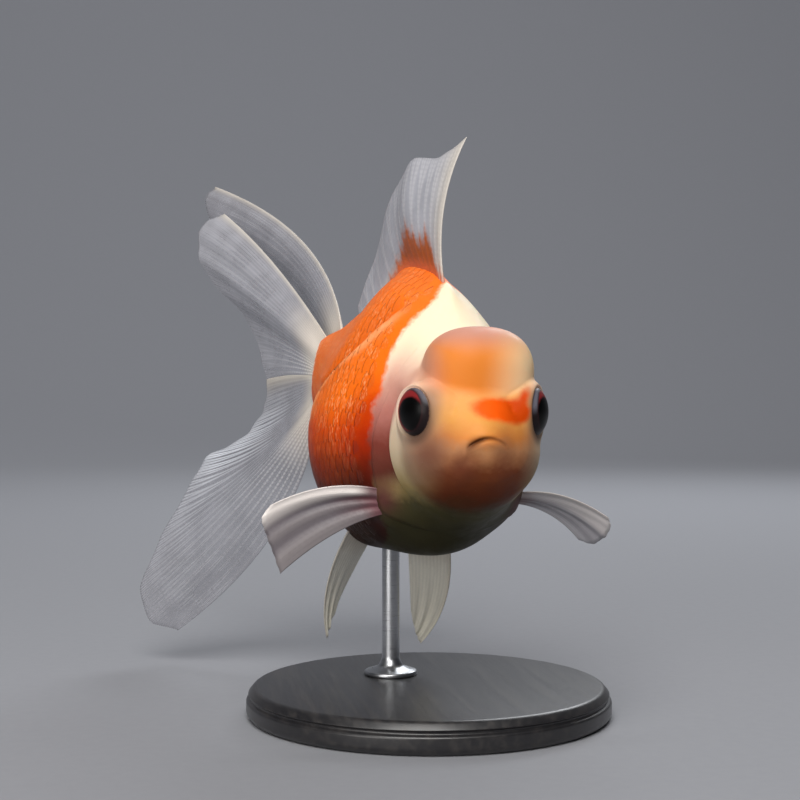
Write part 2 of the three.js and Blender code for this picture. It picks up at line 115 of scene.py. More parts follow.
FIN_ROOT_DEPTH = 1.5  # below the body's surface
FIN_ROOT, MEMBRANE = 0.45, 0.22  # thickness at the root and of the web
RIM_SHARE = 0.35  # of that thickness, at the rim
RAY_WIDTHS = 0.22, 0.12  # at root and tip
RAY_HEIGHT = 0.08  # a ray stands out this far on each side of the membrane
LEADING_HEIGHT = 0.08  # and so does the leading edge
SWAY, PLEAT = 0.22, 0.36  # how far a web sways between its rays, and how high its pleats stand
RAY_JOINT = 0.9  # from joint to joint along a bony ray

# A fin's rays, from the leading one: its root on the body (t, degrees), its tip, and the bow of its
# middle. "bones" is the number of bony rays, each of which forks on its way out, "crisp" how plainly
# they show away from the trailing edge, "broad" their width, "pale" how milky the web is, and past
# 0.9 also painted light on a fin that the body shades, and "firm" how far it is pleated and fleshy.
# What a fin doesn't state is that of a plain one.
PLAIN_FIN = {"crisp": 0.6, "broad": 1.0, "pale": 0.5, "firm": 0.0}
FINS = {
    "dorsal_fin": {
        "bones": 15,
        "broad": 1.7,
        "pale": 0.75,
        "rays": [
            ((0.4, 90), (3.9, 31.9, 48.5), (-2.4, -1.2, 0.2)),
            ((0.46, 90), (0.5, 36.3, 46.0), (-2.1, -1.2, 0)),
            ((0.53, 90), (-3.0, 41.5, 46.2), (-2.2, -0.9, -0.3)),
            ((0.62, 90), (-5.2, 49.0, 42.0), (-1.4, -0.3, 0.3)),
            ((0.74, 90), (-7.7, 56.6, 30.6), (-0.4, 0.2, 0.4)),
            ((0.83, 90), (-10.1, 60.3, 22.4), (0, 0, 0.2)),
        ],
    },
    "pectoral_fin_right": {
        "bones": 16,
        "crisp": 0.06,
        "firm": 1.0,
        "rays": [
            ((0.335, 214), (-28.7, 23.5, -10.4), (0, 0, 1.9)),
            ((0.34, 217), (-30.0, 24.2, -12.4), (-0.4, 0.2, 2.0)),
            ((0.345, 220), (-29.4, 24.5, -14.6), (-0.5, 0.3, 2.1)),
            ((0.35, 223), (-28.3, 24.4, -17.8), (-0.2, 0.1, 2.0)),
            ((0.355, 226), (-27.1, 24.2, -21.0), (0.2, 0, 1.8)),
        ],
    },
    "pectoral_fin_left": {
        "bones": 16,
        "crisp": 0.06,
        "firm": 0.45,
        "rays": [
            ((0.33, -37), (26.1, 26.4, -13.3), (0, 0, 1.9)),
            ((0.338, -37.5), (26.7, 27.2, -14.9), (0.2, 0.1, 1.8)),
            ((0.346, -38), (25.7, 27.7, -16.7), (0.4, 0.2, 1.9)),
            ((0.354, -38.5), (23.8, 27.6, -17.6), (0.9, 0.1, 2.0)),
            ((0.362, -39), (21.3, 27.1, -16.9), (0.6, 0, 1.4)),
        ],
    },
    # The pelvic fins are pale partly with their own cream and partly with painted light, for the body
    # shades them.
    "pelvic_fin_right": {
        "bones": 12,
        "crisp": 0.3,
        "pale": 1.5,
        "rays": [
            ((0.57, 232), (-17.3, 46.0, -34.9), (-2.0, 1.4, -0.5)),
            ((0.605, 246), (-16.9, 45.6, -32.8), (-1.3, 1.0, -0.5)),
            ((0.64, 258), (-15.6, 45.2, -28.6), (-0.5, 0.4, -0.8)),
        ],
    },
    "pelvic_fin_left": {
        "bones": 12,
        "crisp": 0.3,
        "pale": 1.5,
        "rays": [
            ((0.57, 300), (-0.9, 48.0, -36.5), (2.4, 0.5, -1.4)),
            ((0.605, 290), (-1.7, 48.0, -34.6), (1.4, 0.6, -1.2)),
            ((0.64, 280), (-2.7, 47.2, -30.6), (0.2, 0.6, -1.2)),
        ],
    },
    "anal_fin_right": {
        "bones": 7,
        "rays": [
            ((0.78, 262), (-13.0, 61.6, -14.4), (0, 0.6, -0.4)),
            ((0.82, 262), (-13.8, 65.0, -10.4), (0, 0.4, -0.2)),
            ((0.86, 262), (-13.6, 66.0, -6.2), (0, 0.2, 0)),
        ],
    },
    "anal_fin_left": {
        "bones": 7,
        "rays": [
            ((0.78, 278), (-6.4, 64.0, -14.8), (0, 0.6, -0.4)),
            ((0.82, 278), (-8.0, 67.0, -10.8), (0, 0.4, -0.2)),
            ((0.86, 278), (-9.4, 67.6, -6.6), (0, 0.2, 0)),
        ],
    },
    "tail_fin_right_upper": {
        "bones": 24,
        "crisp": 0.12,
        "pale": 0.5,
        "rays": [
            ((0.965, 106), (-32.4, 99.0, 43.8), (0.4, 0, 1.6)),
            ((0.985, 121), (-36.8, 100.0, 41.6), (0.2, 0.6, 2.4)),
            ((0.985, 137), (-37.2, 97.0, 33.4), (-0.6, 0.6, 2.0)),
            ((0.985, 152), (-27.8, 88.0, 20.4), (-0.6, 0.8, 1.0)),
            ((0.985, 166.5), (-24.9, 81.7, 9.7), (-0.3, 0.3, 0.5)),
        ],
    },
    "tail_fin_right_lower": {
        "bones": 34,
        "crisp": 0.15,
        "pale": 0.2,
        "rays": [
            ((0.985, 166.5), (-24.9, 81.7, 9.7), (-0.3, 0.3, 0.5)),
            ((0.985, 174), (-25.2, 81.7, 5.2), (-0.2, 0, 0.1)),
            ((0.985, 180), (-26.8, 82.7, 1.6), (0.2, 0, -0.4)),
            ((0.985, 186), (-30.3, 84.8, -2.3), (0.7, 0, -1.2)),
            ((0.985, 192), (-36.1, 87.1, -5.3), (1.4, 0, -2.0)),
            ((0.985, 199), (-39.1, 88.7, -10.0), (1.8, 0, -2.0)),
            ((0.985, 207), (-45.3, 90.6, -21.5), (1.6, 0, -1.0)),
            ((0.985, 215), (-49.2, 91.2, -31.8), (1.8, -0.6, -0.4)),
            ((0.985, 223), (-47.3, 90.0, -37.8), (3.4, -1.4, -0.8)),
            ((0.985, 230), (-42.1, 88.0, -39.6), (5.4, -2.2, -1.4)),
        ],
    },
    "tail_fin_left_upper": {
        "bones": 24,
        "crisp": 0.12,
        "pale": 0.15,
        "rays": [
            ((0.93, 78), (-34.0, 109.0, 50.8), (6.2, -0.8, 2.4)),
            ((0.955, 62), (-36.0, 109.0, 48.2), (4.8, -0.4, 2.8)),
            ((0.985, 43), (-30.4, 105.0, 34.6), (3.2, 0.6, 2.0)),
            ((0.985, 29), (-18.0, 99.6, 20.6), (1.8, 0.6, 1.0)),
            ((0.985, 15.5), (-6.3, 91.4, 10.1), (1.0, 0, 0.4)),
        ],
    },
    "tail_fin_left_lower": {
        "bones": 30,
        "crisp": 0.15,
        "pale": 0.2,
        "rays": [
            ((0.985, 15.5), (-6.3, 91.4, 10.1), (1.0, 0, 0.4)),
            ((0.985, 1), (2.4, 97.0, -2.2), (1.2, 0, 1.0)),
            ((0.985, -14), (10.0, 99.4, -15.0), (1.6, 0, 2.0)),
            ((0.985, -32), (12.6, 96.2, -24.0), (1.0, 0, 1.6)),
            ((0.985, -50), (7.0, 89.6, -26.4), (-2.2, -1.6, -1.0)),
        ],
    },
}

# ---- Stand, camera and room -------------------------------------------------------------------------

BASE_RADIUS, BASE_HEIGHT = 30.0, 5.0
ROD_RADIUS = 1.5

CAMERA_AZIMUTH = math.radians(-9.5)
CAMERA_DISTANCE = 200.0  # from the snout, along the view
CAMERA_SIDE = -12.3  # from the snout, to the right of the view
CAMERA_ABOVE = 5.7
LENS_MM = 64.3

FLOOR_RADIUS, COVE_RADIUS = 0.9, 1.2  # metres

# ---- Small tools ------------------------------------------------------------------------------------


def smooth(x, low, high):
    """0 below low and 1 above high, with a soft step between them."""
    share = np.clip((x - low) / (high - low), 0, 1)
    return share * share * (3 - 2 * share)


def blend(a, b, share):
    return a + (b - a) * share


def bell(x, width):
    """1 at 0, and about a third at the width."""
    return np.exp(-((x / width) ** 2))


def smooth_max(a, b, softness):
    """The larger of two, with a round change from one to the other."""
    share = np.clip(0.5 + 0.5 * (a - b) / softness, 0, 1)
    return blend(b, a, share) + softness * share * (1 - share)


SNOUT = np.array([-BASE_CENTRE[0], -BASE_CENTRE[1], MOUTH_HEIGHT])


def to_scene(points):
    """Points of the fish's frame in metres of the row frame."""
    return (np.asarray(points) + SNOUT) * MM


def make_piece(name, points, faces, material, fields=None, uv=None, replaces=(), smooth_faces=None):
    """A smooth mesh that rides on the body. fields are numbers at its points, for the material."""
    mesh = bpy.data.meshes.new(name)
    mesh.from_pydata(np.asarray(points).tolist(), [], faces)
    mesh.polygons.foreach_set("use_smooth", [True] * len(faces) if smooth_faces is None else smooth_faces)
    for field, values in (fields or {}).items():
        attribute = mesh.attributes.new(field, "FLOAT", "POINT")
        attribute.data.foreach_set("value", np.ascontiguousarray(values, np.float32).ravel())
    if uv is not None:
        corners = np.zeros(len(mesh.loops), np.int32)
        mesh.loops.foreach_get("vertex_index", corners)
        layer = mesh.uv_layers.new(name="OFBake")
        layer.data.foreach_set("uv", np.asarray(uv, np.float32)[corners].ravel())
    mesh.materials.append(material)
    mesh.update()
    piece = bpy.data.objects.new(name, mesh)
    bpy.context.scene.collection.objects.link(piece)
    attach(piece, "root")
    if replaces:
        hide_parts(*replaces)


def ring_faces(rings, around):
    """Quads between rings of points, each closed on itself, as four columns of point numbers."""
    ring, k = np.meshgrid(np.arange(rings - 1), np.arange(around), indexing="ij")
    after = (k + 1) % around
    here, there = ring * around, (ring + 1) * around
    return np.stack([here + k, here + after, there + after, there + k], -1).reshape(-1, 4)


def capped_faces(rings, around):
    """Faces of rings that a fan closes at each end. Its two middle points come after the rings."""
    faces = ring_faces(rings, around).tolist()
    first, last = rings * around, rings * around + 1
    start = (rings - 1) * around
    faces += [[first, (k + 1) % around, k] for k in range(around)]
    faces += [[last, start + k, start + (k + 1) % around] for k in range(around)]
    return faces


# ---- The body's surface -----------------------------------------------------------------------------

SPINE_STEPS = 240


def make_spine():
    """The middle line of the body from above: x, y and heading at even steps."""
    heading = TAIL_TURN * smooth((np.arange(SPINE_STEPS) + 0.5) / SPINE_STEPS, TURN_FROM, TURN_TO)
    step = BODY_LENGTH / SPINE_STEPS
    x = np.concatenate([[0], np.cumsum(-np.sin(heading) * step)])
    y = np.concatenate([[0], np.cumsum(np.cos(heading) * step)])
    return np.stack([x, y, np.concatenate([[0], heading])])


SPINE = make_spine()


def station(name, t):
    """A named value of the sections at t, on a smooth curve through them."""
    at = SECTIONS[:, 0]
    value = SECTIONS[:, SECTION_NAMES.index(name)]
    last = len(at) - 1
    before, after = np.maximum(np.arange(last + 1) - 1, 0), np.minimum(np.arange(last + 1) + 1, last)
    slope = (value[after] - value[before]) / (at[after] - at[before])
    i = np.clip(np.searchsorted(at, t) - 1, 0, last - 1)
    step = at[i + 1] - at[i]
    u = (t - at[i]) / step
    u2, u3 = u * u, u * u * u
    return (
        value[i] * (2 * u3 - 3 * u2 + 1)
        + slope[i] * step * (u3 - 2 * u2 + u)
        + value[i + 1] * (3 * u2 - 2 * u3)
        + slope[i + 1] * step * (u3 - u2)
    )


def section_point(t, across, level, back=0.0):
    """A point of the section at t, turned with the spine and leaning with the trunk."""
    place = np.clip(t, 0, 1) * SPINE_STEPS
    steps = np.arange(SPINE_STEPS + 1)
    x, y, heading = (np.interp(place, steps, row) for row in SPINE)
    lean = TRUNK_LEAN * smooth(t, LEAN_FROM, LEAN_TO)
    arm = level - LEAN_AXIS
    left = across * np.cos(lean) + arm * np.sin(lean)
    return np.stack(
        [
            x + left * np.cos(heading),
            y + left * np.sin(heading) + back,
            LEAN_AXIS + arm * np.cos(lean) - across * np.sin(lean),
        ],
        -1,
    )


def body_point(t, degrees, grow=0.0):
    """Points of the body's surface, or of one that is larger by grow."""
    t, degrees, grow = np.broadcast_arrays(t, degrees, grow)
    c, s = np.cos(np.radians(degrees)), np.sin(np.radians(degrees))
    from_tip = np.clip(t / SNOUT_ROUND, 0, 1)
    nose = np.sqrt(1 - (1 - from_tip) ** 2)
    waist = station("waist", t)
    above = s >= 0
    power = 2 / np.where(above, station("roof", t), station("keel", t))
    height = np.where(above, station("back", t) - waist, waist - station("belly", t))
    across = (station("half", t) * nose + grow) * np.sign(c) * np.abs(c) ** power
    up = (height * nose + grow) * np.sign(s) * np.abs(s) ** power
    return section_point(t, across, waist + up, -grow * (1 - from_tip))


def rise_of(degrees):
    """Degrees above the side, the same on both sides: -90 at the belly and 90 at the back."""
    return np.degrees(np.arcsin(np.sin(np.radians(degrees))))


CHEEK_END = 0.232  # share of the length where the gill cover starts

# Rear edge of the gill cover, as seen on the skin: degrees above the side, and share of the length.
COVER_RISE = (-70, -40, -15, 25, 50)
COVER_AT = (0.29, 0.345, 0.335, 0.3, 0.28)


def cover_line(degrees):
    return np.interp(rise_of(degrees), COVER_RISE, COVER_AT)


# The turn of the tail presses the right flank into a fold, which slants back down from the back.
FOLD_DEGREES = (118, 130, 136, 141, 146, 149.5, 152, 156, 161, 170)
FOLD_AT = (0.425, 0.442, 0.463, 0.482, 0.51, 0.55, 0.61, 0.68, 0.706, 0.715)
FOLD_REACH = BODY_LENGTH * 0.7  # a whole length, squarely across the slant
# In millimetres behind the fold's line: its brink, the middle of its wall, and its foot.
FOLD_BRINK, FOLD_WALL, FOLD_FOOT = -0.1, 0.35, 0.95


def behind_fold(t, degrees):
    """Millimetres behind the fold's line, and how much of a fold there is."""
    degrees = degrees % 360
    behind = (t - np.interp(degrees, FOLD_DEGREES, FOLD_AT)) * FOLD_REACH
    return behind, smooth(degrees, 116, 132) * (1 - smooth(degrees, 160, 176))


def clear_of_fold(t, degrees, root_t, root_degrees):
    """No scale bridges the fold: those rooted ahead of it end at its brink, the rest start at its foot."""
    behind, fold = behind_fold(t, degrees)
    rooted, _ = behind_fold(root_t, root_degrees)
    over_brink = np.maximum(behind - FOLD_BRINK, 0)
    short_of_foot = np.maximum(FOLD_FOOT - behind, 0)
    past = np.where(rooted < FOLD_WALL, -over_brink, short_of_foot)
    return t + 0.98 * past * smooth(fold, 0.03, 0.2) / FOLD_REACH


# ---- Relief of the skin that a place on the body gives ----------------------------------------------

# Flesh round the roots of the paired fins: share of the length, angles, height and radius.
FIN_FLESH = ((0.355, (220, -40), 0.9, 3.2), (0.6, (246, 290), 0.7, 3.0), (0.82, (262, 278), 0.5, 2.2))


def step_down(behind, proud, drop, back):
    """An edge: rises to proud, falls by drop just behind it, and comes back level after back."""
    before = proud * np.exp(np.minimum(behind, 0) / 4)
    fallen = -drop * smooth(behind, 0, 0.7) + (drop - proud) * smooth(behind, 0.7, back)
    return before + np.where(behind > 0, fallen, 0)


def spot(t, degrees, at, angle, radius):
    """1 at a place on the body, fading out at about a radius from it."""
    turn = (degrees - angle + 180) % 360 - 180
    along = (t - at) * BODY_LENGTH
    around = np.radians(turn) * MEAN_GIRTH_RADIUS
    return bell(np.hypot(along, around), radius)


def relief(t, degrees):
    """How far the skin stands out from the plain body, for cheeks, gill covers and roots of fins."""
    t, degrees = np.broadcast_arrays(t, degrees)
    rise = rise_of(degrees)
    out = np.zeros(t.shape)
    cheek = smooth(rise, -52, -24) * (1 - smooth(rise, 20, 34))
    out += cheek * step_down((t - CHEEK_END) * BODY_LENGTH, 0.45, 1.3, 6.0)
    cover = smooth(rise, -75, -50) * (1 - smooth(rise, 38, 58))
    out += cover * step_down((t - cover_line(degrees)) * BODY_LENGTH, 0.3, 0.45, 3.5)
    for at, angles, height, radius in FIN_FLESH:
        for angle in angles:
            out += height * spot(t, degrees, at, angle, radius)
    behind, fold = behind_fold(t, degrees)
    out += fold * step_down(behind, 0.5, 2.3, 8.0)
    across = station("half", t) * np.abs(np.cos(np.radians(degrees))) ** 1.3
    ridge = np.where(rise > 0, bell(across, 1.3), 0) * smooth(t, 0.32, 0.38) * (1 - smooth(t, 0.82, 0.9))
    return out + 0.8 * ridge


def coat_point(t, degrees, height=0.0):
    """Points at a height over the skin."""
    return body_point(t, degrees, relief(t, degrees) - COAT + height)


# ---- The head's own forms ---------------------------------------------------------------------------


def raise_wen(points, centre, halves, soft_front, soft_back):
    """Pushes the skin out to a dome, and gives how far it went."""
    ray = points - centre
    reach = np.linalg.norm(ray, axis=-1)
    way = ray / reach[..., None]
    # Below its middle the dome is drawn out, and runs on into the forehead.
    halves = np.where(way[..., 2:] < 0, halves * (1, 1, WEN_DRAWN_OUT), halves)
    dome = 1 / (np.abs(way / halves) ** WEN_FULLNESS).sum(-1) ** (1 / WEN_FULLNESS)
    front = smooth(-way[..., 2], -0.42, 0.12) * smooth(-way[..., 1], -0.8, -0.1)
    softness = blend(soft_back, soft_front, front)
    new = smooth_max(reach, dome, softness)
    return centre + way * new[..., None], new - reach


def seat_eye(points, side):
    """Opens a socket round an eye, with a soft rim that closes on it."""
    centre = EYE_CENTRE * (side, 1, 1)
    axis = np.array([side * math.cos(EYE_FORWARD), -math.sin(EYE_FORWARD), 0])
    arm = points - centre
    depth = arm @ axis
    off = np.linalg.norm(arm - depth[..., None] * axis, axis=-1)
    ball = EYE_DEPTH * np.sqrt(np.clip(1 - (off / EYE_RADIUS) ** 2, 0.02, 1))
    crossing = np.clip((off - EYE_RIM) * 0.55, -0.6, 1.2)
    rim = EYE_DEPTH * math.sqrt(1 - (EYE_RIM / EYE_RADIUS) ** 2)
    fall = 0.16 * np.clip(off - EYE_RIM - 0.4, 0, 3) ** 1.3
    goal = np.where(off < EYE_RIM, ball + crossing, rim + np.minimum(crossing, 0.22) - fall)
    outer = blend(6.2, 5.0, smooth(arm[..., 2], 1.5, 4.0))
    hold = (1 - smooth((off - EYE_RADIUS) / (outer - EYE_RADIUS), 0, 1)) * (depth > -5)
    return points + axis * ((goal - depth) * hold)[..., None]


def mouth_level(x):
    """Height of the mouth's line, which arches like a frown."""
    return 0.25 - MOUTH_ARCH * (np.abs(x - MOUTH_MIDDLE) / MOUTH_HALF) ** 1.9


def shape_mouth(points):
    """Cuts the mouth's slit and rounds the lips above and below it."""
    x, y, z = points[..., 0], points[..., 1], points[..., 2]
    front = 1 - smooth(y, 3, 6)
    above = z - mouth_level(x)
    off = np.abs(x - MOUTH_MIDDLE)
    width = np.clip(1 - (off / (MOUTH_HALF + 0.15)) ** 2, 0, 1) ** 0.5
    wide = np.clip(1 - (off / (MOUTH_HALF + 1.6)) ** 2, 0, 1)
    slit = -0.5 * bell(above, 0.24) * width * blend(1.1, 0.5, smooth(x, -1.5, 2.2))
    upper = 0.22 * bell(above - 0.8, 0.8) * wide
    lower = 0.14 * bell(above + 0.75, 0.7) * wide
    chin = 0.25 * bell(above + 3.4, 1.6) * wide
    out = (slit + upper + lower + chin) * front
    moved = points.copy()
    moved[..., 1] = y - out
    return moved


def open_nostrils(points):
    """A small pit on each side of the snout, with a flap of skin in front of it."""
    moved = points.copy()
    for side in (1, -1):
        centre = NOSTRIL * (side, 1, 1)
        off = points - centre
        out = np.array([side * 0.55, -0.72, 0.42])
        pit = bell(np.linalg.norm(off, axis=-1), 0.5)
        flap = bell(np.linalg.norm(off - np.array([-side * 0.45, -0.3, 0.15]), axis=-1), 0.55)
        moved += out * (0.03 * flap - 0.1 * pit)[..., None]
    return moved


# ---- Markings ---------------------------------------------------------------------------------------

# Front edge of the orange: degrees above the side, and share of the length.
SADDLE_RISE = (-90, -70, -60, -50, -36, -13, 26, 51, 67, 84, 90)
SADDLE_AT = (0.62, 0.52, 0.44, 0.388, 0.363, 0.349, 0.341, 0.365, 0.362, 0.397, 0.41)


def saddle_line(degrees):
    """On the left side the orange starts a little further back than on the right."""
    left = smooth(np.cos(np.radians(degrees)), 0.0, 0.35)
    return np.interp(rise_of(degrees), SADDLE_RISE, SADDLE_AT) + 0.06 * left


def markings(t, degrees, points):
    """Fields that skin and scales share: where each colour lies, and painted shade and a painted
    highlight at the fold. Lengths are in millimetres.
    """
    x, y, z = points[..., 0], points[..., 1], points[..., 2]
    rise = rise_of(degrees)
    saddle = (t - saddle_line(degrees)) * BODY_LENGTH
    belly_edge = (rise + 78) * 0.25 + 3 * smooth(t, 0.6, 0.9)
    tail_edge = (0.985 - t) * BODY_LENGTH
    saddle = np.minimum(np.minimum(saddle, belly_edge), tail_edge)
    gill = (t - cover_line(degrees)) * BODY_LENGTH
    # The left gill cover is the paler.
    left = smooth(np.cos(np.radians(degrees)), 0.0, 0.5)
    side = smooth(rise, -38, -20) * (1 - smooth(rise, 32, 62)) * blend(1, 0.35, left)
    behind, fold = behind_fold(t, degrees)
    return {
        "saddle": saddle,
        "level": z,
        "blush": side * smooth(gill, -6.4, -4.6) * (1 - smooth(gill, 1.5, 5.0)),
        "axil": spot(t, degrees, 0.325, 214, 2.3) + spot(t, degrees, 0.325, -38, 2.3),
        # Painted shade on the flank behind the fold, where the flank in front of it hides it.
        "shade": fold * smooth(behind, -0.2, 0.5) * (1 - smooth(behind, 2.5, 10)),
        # A painted highlight along the brink of the fold.
        "shine": fold * bell(behind + 0.5, 0.7),
        "temple": bell(np.hypot(x + 6.9, z - 8.8), 2.6) * (1 - smooth(y, 13, 17)),
    }


# The patch on the snout is four blots that run together: middle, level, half sizes and lean.
SNOUT_BLOTS = (
    (1.6, 4.4, 3.3, 1.6, -0.06), (3.7, 4.1, 2.2, 1.7, 0.0), (5.2, 4.0, 2.0, 1.8, 0.0),
    (6.2, 5.9, 1.7, 0.7, 1.1),
)


def snout_patch(x, z):
    """Millimetres inside the edge of the orange patch on the snout, and below zero outside it."""
    patch = np.full(x.shape, -1.0)
    for middle, level, long, short, lean in SNOUT_BLOTS:
        right, up = x - middle, z - level
        along = right * math.cos(lean) + up * math.sin(lean)
        across = up * math.cos(lean) - right * math.sin(lean)
        patch = smooth_max(patch, (1 - np.hypot(along / long, across / short)) * short, 0.7)
    return patch


def painted_eye_shade(points):
    """Painted shade on the skin round the eyes, most below and in front of them."""
    shaded = np.zeros(points.shape[:-1])
    for side in (1, -1):
        arm = points - EYE_CENTRE * (side, 1, 1)
        off = np.linalg.norm(arm, axis=-1)
        front_low = smooth(-arm[..., 1] - 0.5 * arm[..., 2], -1.0, 3.0)
        shaded = np.maximum(shaded, (1 - smooth(off, EYE_RADIUS, 5.5)) * blend(0.15, 1, front_low))
    return shaded


def slit_shade_line(x, z):
    """The dark line between the lips, painted shade in the mouth's slit: thick at the mouth's right
    corner and faint at its left one.
    """
    width = blend(0.8, 0.28, smooth(x, -2.6, 0.6))
    along = np.clip(1 - ((x - MOUTH_MIDDLE) / 3.25) ** 8, 0, 1)
    return bell(z - mouth_level(x), width) * along * blend(1, 0.35, smooth(x, -1.0, 2.2))


def face_markings(points, lift):
    """Fields of the head alone, among them painted shade round the eyes, below them and in the mouth's
    slit.
    """
    x, y, z = points[..., 0], points[..., 1], points[..., 2]
    front = 1 - smooth(y, 9, 13)
    # The cap's colour ends at its crease above and behind, and fades out in an arc below.
    arc = np.hypot((x - 1.0) / 8.6, np.minimum(z - 11.4, 0) / 5.4)
    fade = 1 - smooth(arc, 0.8, blend(1.1, 1.3, smooth(-x, 2, 6)))
    low_front = (1 - smooth(z, 9.4, 11.0)) * (1 - smooth(y, 14, 17))
    under_eyes = bell(np.hypot(np.abs(x + 1.4) - 6.4, 0.8 * (z + 2.0)), 3.7) * blend(1, 0.4, smooth(x, 2, 5))
    return {
        "cap": np.maximum(smooth(lift, 0.1, 0.7), low_front) * fade,
        "cap_rose": np.maximum(smooth(z, 11.8, 15.8), smooth(-x, 3.6, 8.2)),
        "cap_cream": smooth(x + 0.15 * (12 - z), 0.0, 10.0) * (1 - 0.6 * smooth(z, 11.5, 16)),
        "patch": np.where(y < 10, snout_patch(x, z), -1),
        "patch_deep": smooth(x, 0.8, 5.5),
        "face": front * (1 - smooth(np.abs(x - 0.2), 4.8, 11.0)),
        # Partly the skin's own brown and partly painted shade below the eyes and beside the mouth.
        "eyebag": front * np.maximum(under_eyes, 0.75 * bell(np.hypot(x + 3.4, z + 3.4), 3.0)),
        # Painted shade round the eyes.
        "socket": painted_eye_shade(points),
        "lip": slit_shade_line(x, z) * (y < 4),
    }


# ---- Skin -------------------------------------------------------------------------------------------

SKIN_ROWS = 262
SKIN_AROUND = 330
HEAD_END = 0.32  # share of the length
HEAD_FINENESS = 3.2  # rows lie this many times closer over the head


def row_table():
    """Shares of the length for the skin's rows, closer together over the head."""
    fine = np.linspace(0.02, 1, 3000) ** 2
    run = np.zeros(len(fine) - 1)
    for degrees in (0, 90, 270):
        run += np.linalg.norm(np.diff(body_point(fine, degrees, -COAT), axis=0), axis=1) / 3
    run *= np.where(fine[1:] < HEAD_END, HEAD_FINENESS, 1)
    total = np.concatenate([[0], np.cumsum(run)])
    return fine, total / total[-1]


ROW_T, ROW_SHARE = row_table()


def unwrap(t, degrees):
    """The skin's own unwrap: round the body, and along it by the skin's rows."""
    u = ((degrees + 90) % 360) / 360
    return np.stack([0.01 + 0.98 * u, 0.01 + 0.98 * np.interp(t, ROW_T, ROW_SHARE)], -1)


def make_skin(material):
    """The one closed skin of head, trunk and tail stem."""
    t = np.interp(np.linspace(0, 1, SKIN_ROWS), ROW_SHARE, ROW_T)
    degrees = -90 + 360 * np.arange(SKIN_AROUND + 1) / SKIN_AROUND
    t, degrees = np.meshgrid(t, degrees, indexing="ij")
    plain = coat_point(t, degrees)
    points, lift = raise_wen(plain, WEN_CENTRE, WEN_HALVES, 2.2, 0.45)
    fold_centre = WEN_CENTRE + (0.2, 3.4, 0.4)
    points, _ = raise_wen(points, fold_centre, WEN_HALVES - (0.5, 1.2, 0.9), 0.6, 0.8)
    for side in (1, -1):
        points = seat_eye(points, side)
    points = open_nostrils(shape_mouth(points))
    fields = markings(t, degrees, points)
    fields.update(face_markings(points, lift))
    # The seam under the belly is closed by sharing its points, and each end by one more point.
    keep = np.s_[:, :SKIN_AROUND]
    tip = points[0, :SKIN_AROUND].mean(0) - (0, 0.02, 0)
    end = points[-1, :SKIN_AROUND].mean(0)
    flat = np.concatenate([points[keep].reshape(-1, 3), [tip, end]])
    faces = capped_faces(SKIN_ROWS, SKIN_AROUND)
    fields = {
        name: np.concatenate([value[keep].ravel(), [value[0, 0], value[-1, 0]]])
        for name, value in fields.items()
    }
    nodes = ("head", "lower_jaw", "gill_cover_left", "gill_cover_right", "wen", "trunk", "tail_stem")
    make_piece("skin", to_scene(flat), faces, material, fields, None, nodes)


# ---- Scales -----------------------------------------------------------------------------------------

SCALE_RINGS = (0.3, 0.58, 0.82, 1.0)
SCALE_SIDES = 18


def scale_pattern():
    """One scale: top points from its middle outwards, then its lower rim and lower middle."""
    turn = 2 * np.pi * np.arange(SCALE_SIDES) / SCALE_SIDES
    rings = [np.stack([r * np.cos(turn), r * np.sin(turn)], 1) for r in SCALE_RINGS]
    top = np.concatenate([[(0, 0)], *rings])
    low = np.concatenate([rings[-1], [(0, 0)]])
    sunk = np.concatenate([np.zeros(len(top)), np.full(len(low), SCALE_THICKNESS)])
    faces = []
    sides = SCALE_SIDES
    for k in range(sides):
        after = (k + 1) % sides
        faces.append([0, 1 + k, 1 + after])
        for ring in range(len(rings)):
            here, there = 1 + ring * sides, 1 + (ring + 1) * sides
            faces.append([here + k, there + k, there + after, here + after])
        rim = 1 + len(rings) * sides
        faces.append([rim + after, rim + k, rim + sides])
    return np.concatenate([top, low]), sunk, faces


def row_angles():
    """Angles of the rows of scales, evenly spaced round the fattest part of the body."""
    fine = np.linspace(90, 450, 2881)
    run = np.linalg.norm(np.diff(body_point(0.5, fine), axis=0), axis=1)
    total = np.concatenate([[0], np.cumsum(run)])
    return fine, total / total[-1] * SCALE_ROWS


def along_coat(sizes, t):
    """A size at t, from what it is over the trunk and at the root of the tail."""
    return blend(*sizes, smooth(t, 0.6, 0.98))


def scale_steps():
    """Shares of the length where scales sit, closer together towards the tail."""
    steps = [COAT_FROM]
    while steps[-1] < COAT_TO:
        steps.append(steps[-1] + along_coat(SCALE_PITCHES, steps[-1]) / 2 / BODY_LENGTH)
    return np.array(steps)


def first_scale(degrees):
    """Scales start behind the gill covers, and leave nape and throat bare as far as the orange."""
    return np.maximum(saddle_line(degrees) + 0.022, cover_line(degrees) + 0.02)


def scale_roots():
    """Rows and shares of the length where each side's scales sit. Neighbouring rows take turns."""
    fine, row_of = row_angles()
    steps = scale_steps()
    roots = {"left": [], "right": []}
    for row in range(SCALE_ROWS):
        angle = np.interp(row + 0.5, row_of, fine)
        side = "left" if math.cos(math.radians(angle)) > 0 else "right"
        for step in range(row % 2, len(steps), 2):
            if steps[step] > first_scale(angle):
                roots[side].append((row + 0.5, steps[step]))
    return {side: np.array(places).T for side, places in roots.items()}


def coat_faces(faces, count, points_each):
    """Faces of a whole coat, quads first, and which of them are smooth."""
    every, is_smooth = [], []
    # Of a scale's faces, one quad in four is its wall and every other triangle its underside. They
    # are flat, so that they don't darken the rim of the upper side.
    for corners, share, flat_one in ((4, 4, 3), (3, 2, 1)):
        own = np.array([face for face in faces if len(face) == corners])
        first = np.arange(count)[:, None, None] * points_each
        every += (own + first).reshape(-1, corners).tolist()
        is_smooth += np.tile(np.arange(len(own)) % share != flat_one, count).tolist()
    return every, is_smooth


